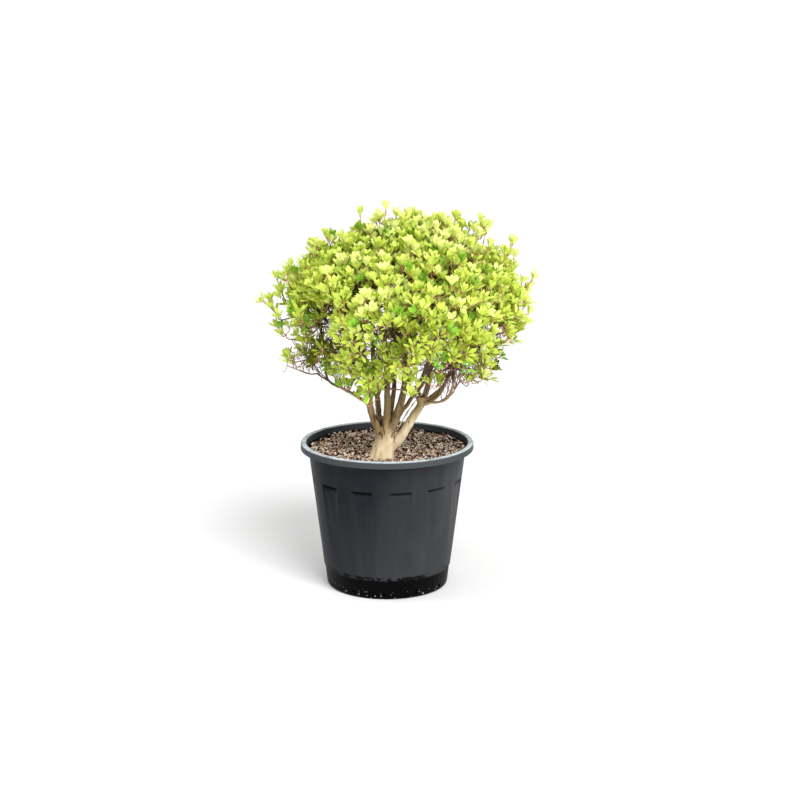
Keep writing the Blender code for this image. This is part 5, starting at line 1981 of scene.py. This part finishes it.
# %% Twig finishes
TWIG_FINISHES = {
    # The old wood is bark brown, painted dark as the shade inside the crown.
    "twigs": ("twig_bark", ((0.042, 0.022, 0.006), (0.150, 0.088, 0.030)), 0.8),
    "bare_twigs": ("bare_twig_bark", ((0.145, 0.078, 0.058), (0.34, 0.205, 0.150)), 0.8),
    "shoots_red": ("shoot_red", ((0.60, 0.22, 0.090), (0.84, 0.43, 0.22)), 0.6),
    "shoots_tan": ("shoot_tan", ((0.48, 0.31, 0.090), (0.68, 0.51, 0.19)), 0.6),
}


def twig_finish(name, colours, roughness):
    """Thin bark of two tones in short streaks."""
    return mottled(
        name, roughness, specular=0.2, colours=colours,
        patches={"Scale": 140.0, "Stretch": 0.4, "Low": 0.35, "High": 0.65}, relief=0.0002)


for name, tubes in tubes_of.items():
    piece = piece_of_tubes(name, tubes)
    piece.data.materials.append(twig_finish(*TWIG_FINISHES[name]))
    finish_piece(piece, MASS_NODES if name == "twigs" else ())

# %% [markdown]
# Where a limb was sawn off, a dark roll of bark closes over the cut, and the right bough has a
# burr of such cuts. In the creases between the strands, dark lines are painted shade. Both are
# thin dark tubes laid on the skin: rings round the cuts, and lines dropped on it from the front. A
# ring's table gives its centre, its radius and its thickness, and a crease line's its bends as seen
# from the front.

# %% Cuts and painted crease shade
CUT_RINGS = (
    ((-0.0193, -0.1070, 0.4775), 0.0078, 0.0012), ((-0.0193, -0.1085, 0.4778), 0.0040, 0.0009),
    ((-0.0170, -0.1125, 0.4365), 0.0034, 0.0009), ((0.0770, -0.1225, 0.5350), 0.0036, 0.0009),
    ((0.0975, -0.1250, 0.5365), 0.0034, 0.0009), ((0.0815, -0.1205, 0.5465), 0.0032, 0.0009),
    ((0.0890, -0.1215, 0.5395), 0.0050, 0.0009), ((0.0245, -0.1060, 0.4435), 0.0036, 0.0008),
)
RING_STEPS = 14
RING_TURN = 0.98 * math.tau
CREASE_SHADE_WIDTH = 0.0011
# Painted shade: dark lines in the creases between the strands, as (x, z) bends seen from the front.
CREASE_SHADE_LINES = (
    ((0.0085, 0.4720), (0.0100, 0.4665), (0.0085, 0.4615), (0.0105, 0.4570)),
    ((0.0205, 0.4440), (0.0212, 0.4330), (0.0200, 0.4220), (0.0206, 0.4080)),
    ((-0.0080, 0.4600), (-0.0085, 0.4480), (-0.0060, 0.4370), (-0.0065, 0.4290)),
    ((0.0310, 0.4560), (0.0290, 0.4500), (0.0300, 0.4450)),
    ((0.0255, 0.4480), (0.0265, 0.4420), (0.0250, 0.4370)),
    ((0.0120, 0.4300), (0.0125, 0.4250), (0.0118, 0.4200)),
    ((-0.0130, 0.4330), (-0.0110, 0.4250), (-0.0125, 0.4180)),
    ((0.0340, 0.4700), (0.0320, 0.4640), (0.0335, 0.4590)),
)


def cut_ring(centre, radius, thickness):
    """A slightly uneven ring that faces the front."""
    path = []
    for i in range(RING_STEPS + 1):
        angle = RING_TURN * i / RING_STEPS
        out = radius * (1 + 0.10 * math.sin(3 * angle + radius * 900))
        across, upwards = out * math.cos(angle), out * math.sin(angle)
        path.append((centre[0] + across, centre[1], centre[2] + upwards))
    return np.array(path), [thickness] * len(path)


# Painted shade: a dark line in a crease between strands.
def crease_shade_line(bends):
    """A thin tube on the bark's skin, straight behind the curve through some (x, z)."""
    path = []
    for point in smooth_path([Vector((x, 0, z)) for x, z in bends], 4):
        hit, place, normal, face = bark.ray_cast((point.x, -1.0, point.z), (0, 1, 0))
        if hit:
            path.append(place[:])
    return np.array(path), CREASE_SHADE_WIDTH * np.sin(np.linspace(0.4, 2.7, len(path)))


bpy.context.view_layer.update()
cut_tubes = [cut_ring(*ring) for ring in CUT_RINGS] + [crease_shade_line(bends) for bends in CREASE_SHADE_LINES]
cuts = piece_of_tubes("cuts_and_crease_shade", cut_tubes, roundness=1)
cuts.data.materials.append(
    twig_finish("cut_bark_and_crease_shade", ((0.016, 0.009, 0.004), (0.070, 0.040, 0.018)), 0.9))
finish_piece(cuts)

# %% [markdown]
# ## One leaf
# The leaf is widest beyond its middle, tapers into its stalk and ends in a short point. A small
# grid is shaped to that outline, folded a little along its midrib and bent along its length, and
# its end rows are merged to points. Eight leaves with other folds and bends are enough, because
# each copy is turned and sized by itself.

# %% Leaf shapes
LEAF_ROWS = (0.0, 0.22, 0.45, 0.66, 0.84, 1.0)
LEAF_SHAPES = 8
LEAF_FOLD = (0.25, 0.60)
LEAF_BEND = (-0.04, 0.36)
LEAF_TWIST = (-0.35, 0.35)
FOLD_SLOPE = 0.45


def leaf_half_width(along):
    """Half width of a leaf of unit length and unit width, at a share of its length."""
    return 0.5 * max(0.0, math.sin(math.pi * along ** 1.35)) ** 0.85


def leaf_shape(seed):
    """A leaf of unit length along Y and unit width, its upper face towards +Z."""
    dice = random.Random(f"leaf {seed}")
    fold = dice.uniform(*LEAF_FOLD)
    bend = dice.uniform(*LEAF_BEND)
    twist = dice.uniform(*LEAF_TWIST)
    bm = bmesh.new()
    bmesh.ops.create_grid(bm, x_segments=2, y_segments=len(LEAF_ROWS) - 1, size=0.5)
    for vertex in bm.verts:
        row = round((vertex.co.y + 0.5) * (len(LEAF_ROWS) - 1))
        along = LEAF_ROWS[row]
        across = 2 * vertex.co.x * leaf_half_width(along)
        lift = abs(across) * fold * FOLD_SLOPE - bend * along * along
        vertex.co = (across, along, lift + across * twist * along * FOLD_SLOPE)
    bmesh.ops.remove_doubles(bm, verts=bm.verts, dist=0.001)
    bmesh.ops.recalc_face_normals(bm, faces=bm.faces)
    return arrays_of(bm)


def stalk_shape():
    """A three-sided stalk of unit length along Y and unit radius."""
    bm = bmesh.new()
    bmesh.ops.create_cone(
        bm, cap_ends=False, segments=3, radius1=1.0, radius2=0.7, depth=1.0,
        matrix=Matrix.Translation((0, 0.5, 0)) @ Matrix.Rotation(-math.pi / 2, 4, 'X'))
    return arrays_of(bm)


leaf_shapes = [leaf_shape(seed) for seed in range(LEAF_SHAPES)]
stalk = stalk_shape()
print("leaf:", len(leaf_shapes[0][1]), "triangles")

# %% [markdown]
# ## Whorls
# The leaves of a whorl stand round the shoot like the petals of a tulip, nearly upright on the
# sunny top and more open lower down, with one to three smaller ones inside. Each size goes from
# its value on the top to its value low down with the whorl's tone.

# %% One whorl
LEAF_LENGTH = 0.0257
LEAF_LENGTH_RANGE = (0.80, 1.12)
LEAF_WIDTH_RANGE = (0.88, 1.14)
INNER_LENGTH = 0.62
INNER_LEAN = 0.45
ASPECT_TOP = 0.48
ASPECT_LOW = 0.35
SPREAD_TOP = math.radians(24)
SPREAD_LOW = math.radians(50)
STALK_TOP = (0.0030, 0.0055)
STALK_LOW = (0.0045, 0.0090)
STALK_RADIUS = 0.00070
STALK_OVERLAP = 0.001
FOOT_RANGE = (0.0, 0.0035)
OUTER_LEAVES = (5, 6, 6, 7)
INNER_LEAVES_TOP = (2, 3)
INNER_LEAVES_LOW = (1, 2)
DENSE_BELOW = 0.35
SHORT_STALK_BELOW = 0.4
SPREAD_WANDER = 0.10
LEAN_WANDER = 0.12
ANGLE_WANDER = (-0.25, 0.25)


def leaf_frame(direction, axis):
    """3x3 turn whose Y runs along the leaf and whose Z faces the shoot's axis."""
    upper = axis - direction * axis.dot(direction)
    upper = upper.normalized() if upper.length > 0.01 else side_vectors(direction)[0]
    across = direction.cross(upper)
    return Matrix((across, direction, upper)).transposed()


def place_leaf(place, axis, openness, angle, lean, dice, inner):
    """Turn, size and place of a leaf and of its stalk."""
    direction = axis * math.cos(lean) + direction_round(axis, angle) * math.sin(lean)
    direction = direction.normalized()
    length = LEAF_LENGTH * dice.uniform(*LEAF_LENGTH_RANGE) * (INNER_LENGTH if inner else 1.0)
    aspect = ASPECT_TOP + (ASPECT_LOW - ASPECT_TOP) * openness
    width = length * aspect * dice.uniform(*LEAF_WIDTH_RANGE)
    foot = place - axis * dice.uniform(*FOOT_RANGE)
    stem = dice.uniform(*(STALK_TOP if openness < SHORT_STALK_BELOW else STALK_LOW))
    turn = leaf_frame(direction, axis)
    return ((turn, (width, length, width), foot + direction * stem),
            (turn, (STALK_RADIUS, stem + STALK_OVERLAP, STALK_RADIUS), foot))


def lay_whorl(place, axis, tone, dice):
    """Leaves and stalks of one whorl, as pairs of (turn, size, place)."""
    openness = smooth_step(tone)
    dense = openness < DENSE_BELOW
    spread = SPREAD_TOP + (SPREAD_LOW - SPREAD_TOP) * openness + dice.gauss(0, SPREAD_WANDER)
    outer = dice.choice(OUTER_LEAVES) + (1 if dense else 0)
    count = outer + dice.choice(INNER_LEAVES_TOP if dense else INNER_LEAVES_LOW)
    first_angle = dice.uniform(0, math.tau)
    pairs = []
    for i in range(count):
        inner = i >= outer
        angle = first_angle + math.tau * i / outer + dice.uniform(*ANGLE_WANDER)
        lean = (INNER_LEAN if inner else 1.0) * (spread + dice.gauss(0, LEAN_WANDER))
        pairs.append(place_leaf(place, axis, openness, angle, lean, dice, inner))
    return pairs


print("whorls: ready")

# %% [markdown]
# Colours are dealt out by whorl from six greens, because the leaves of a shoot are of one age.
# The tone chooses the green, from lime on the sunny top to deep green inside. That step is partly
# the leaves' own age and partly painted: the palest greens are raised to stand in for sunlight on
# the top and light shining through the leaves, and the deep green stands in for shade inside the
# crown. Each is one plain tone with a faint mottle and a soft sheen.

# %% Leaves
# The palest greens are partly painted light, sun on the top and light through the leaves, and
# leaves_deep is partly painted shade inside the crown.
LEAF_GREENS = {
    "leaves_palest": ((0.84, 0.93, 0.27), (0.90, 0.965, 0.38)),
    "leaves_lime": ((0.68, 0.80, 0.140), (0.77, 0.87, 0.205)),
    "leaves_fresh": ((0.50, 0.61, 0.078), (0.60, 0.70, 0.115)),
    "leaves_green": ((0.32, 0.41, 0.033), (0.42, 0.52, 0.056)),
    "leaves_bright_green": ((0.21, 0.46, 0.030), (0.31, 0.56, 0.055)),
    "leaves_deep": ((0.105, 0.140, 0.004), (0.18, 0.23, 0.010)),
}
GREENS_BY_TONE = ("leaves_palest", "leaves_lime", "leaves_fresh", "leaves_green", "leaves_deep")
TONE_STEPS = (0.20, 0.45, 0.70, 0.92)
TONE_WANDER = 0.09
BRIGHT_GREEN_SHARE = 0.10


def green_for(tone, dice):
    """Name of the green for a tone from 0 to 1."""
    tone += dice.gauss(0, TONE_WANDER)
    step = sum(tone > edge for edge in TONE_STEPS)
    if dice.random() < BRIGHT_GREEN_SHARE * (1.0 if step > 1 else 0.25):
        return "leaves_bright_green"
    return GREENS_BY_TONE[step]


def lay_whorls(dice):
    """Turn, size and place of all leaves, by green and shape, and of all stalks."""
    leaves = {green: [[] for shape in leaf_shapes] for green in LEAF_GREENS}
    stalks = []
    for place, axis, tone in whorls:
        green = green_for(tone, dice)
        for i, (leaf, stem) in enumerate(lay_whorl(place, axis, tone, dice)):
            leaves[green][i % LEAF_SHAPES].append(leaf)
            stalks.append(stem)
    return leaves, stalks


def leaf_finish(name, low, high):
    """A young leaf: one green, faintly mottled, with a soft sheen."""
    material, tree, shader = new_material(name, roughness=0.58, specular=0.06)
    mottle = mask_of(tree, "patches", Scale=95.0, Low=0.35, High=0.65)
    tree.links.new(mix_colours(tree, mottle, low, high), shader.inputs["Base Color"])
    veins = mask_of(tree, "patches", Scale=420.0, Low=0.3, High=0.7)
    add_relief(tree, shader, ((veins, 0.0002),))
    return material


leaves, stalks = lay_whorls(random.Random(SEED + 2))
for green, rows_by_shape in leaves.items():
    stock = Stock(green)
    for shape, rows in zip(leaf_shapes, rows_by_shape):
        stock.place(shape, *zip(*rows))
    finish_piece(stock.make(leaf_finish(green, *LEAF_GREENS[green])))
stalk_stock = Stock("leaf_stalks")
stalk_stock.place(stalk, *zip(*stalks))
stalk_finish = twig_finish("leaf_stalk", ((0.52, 0.22, 0.085), (0.62, 0.42, 0.14)), 0.55)
finish_piece(stalk_stock.make(stalk_finish))
print("leaves:", len(stalks))
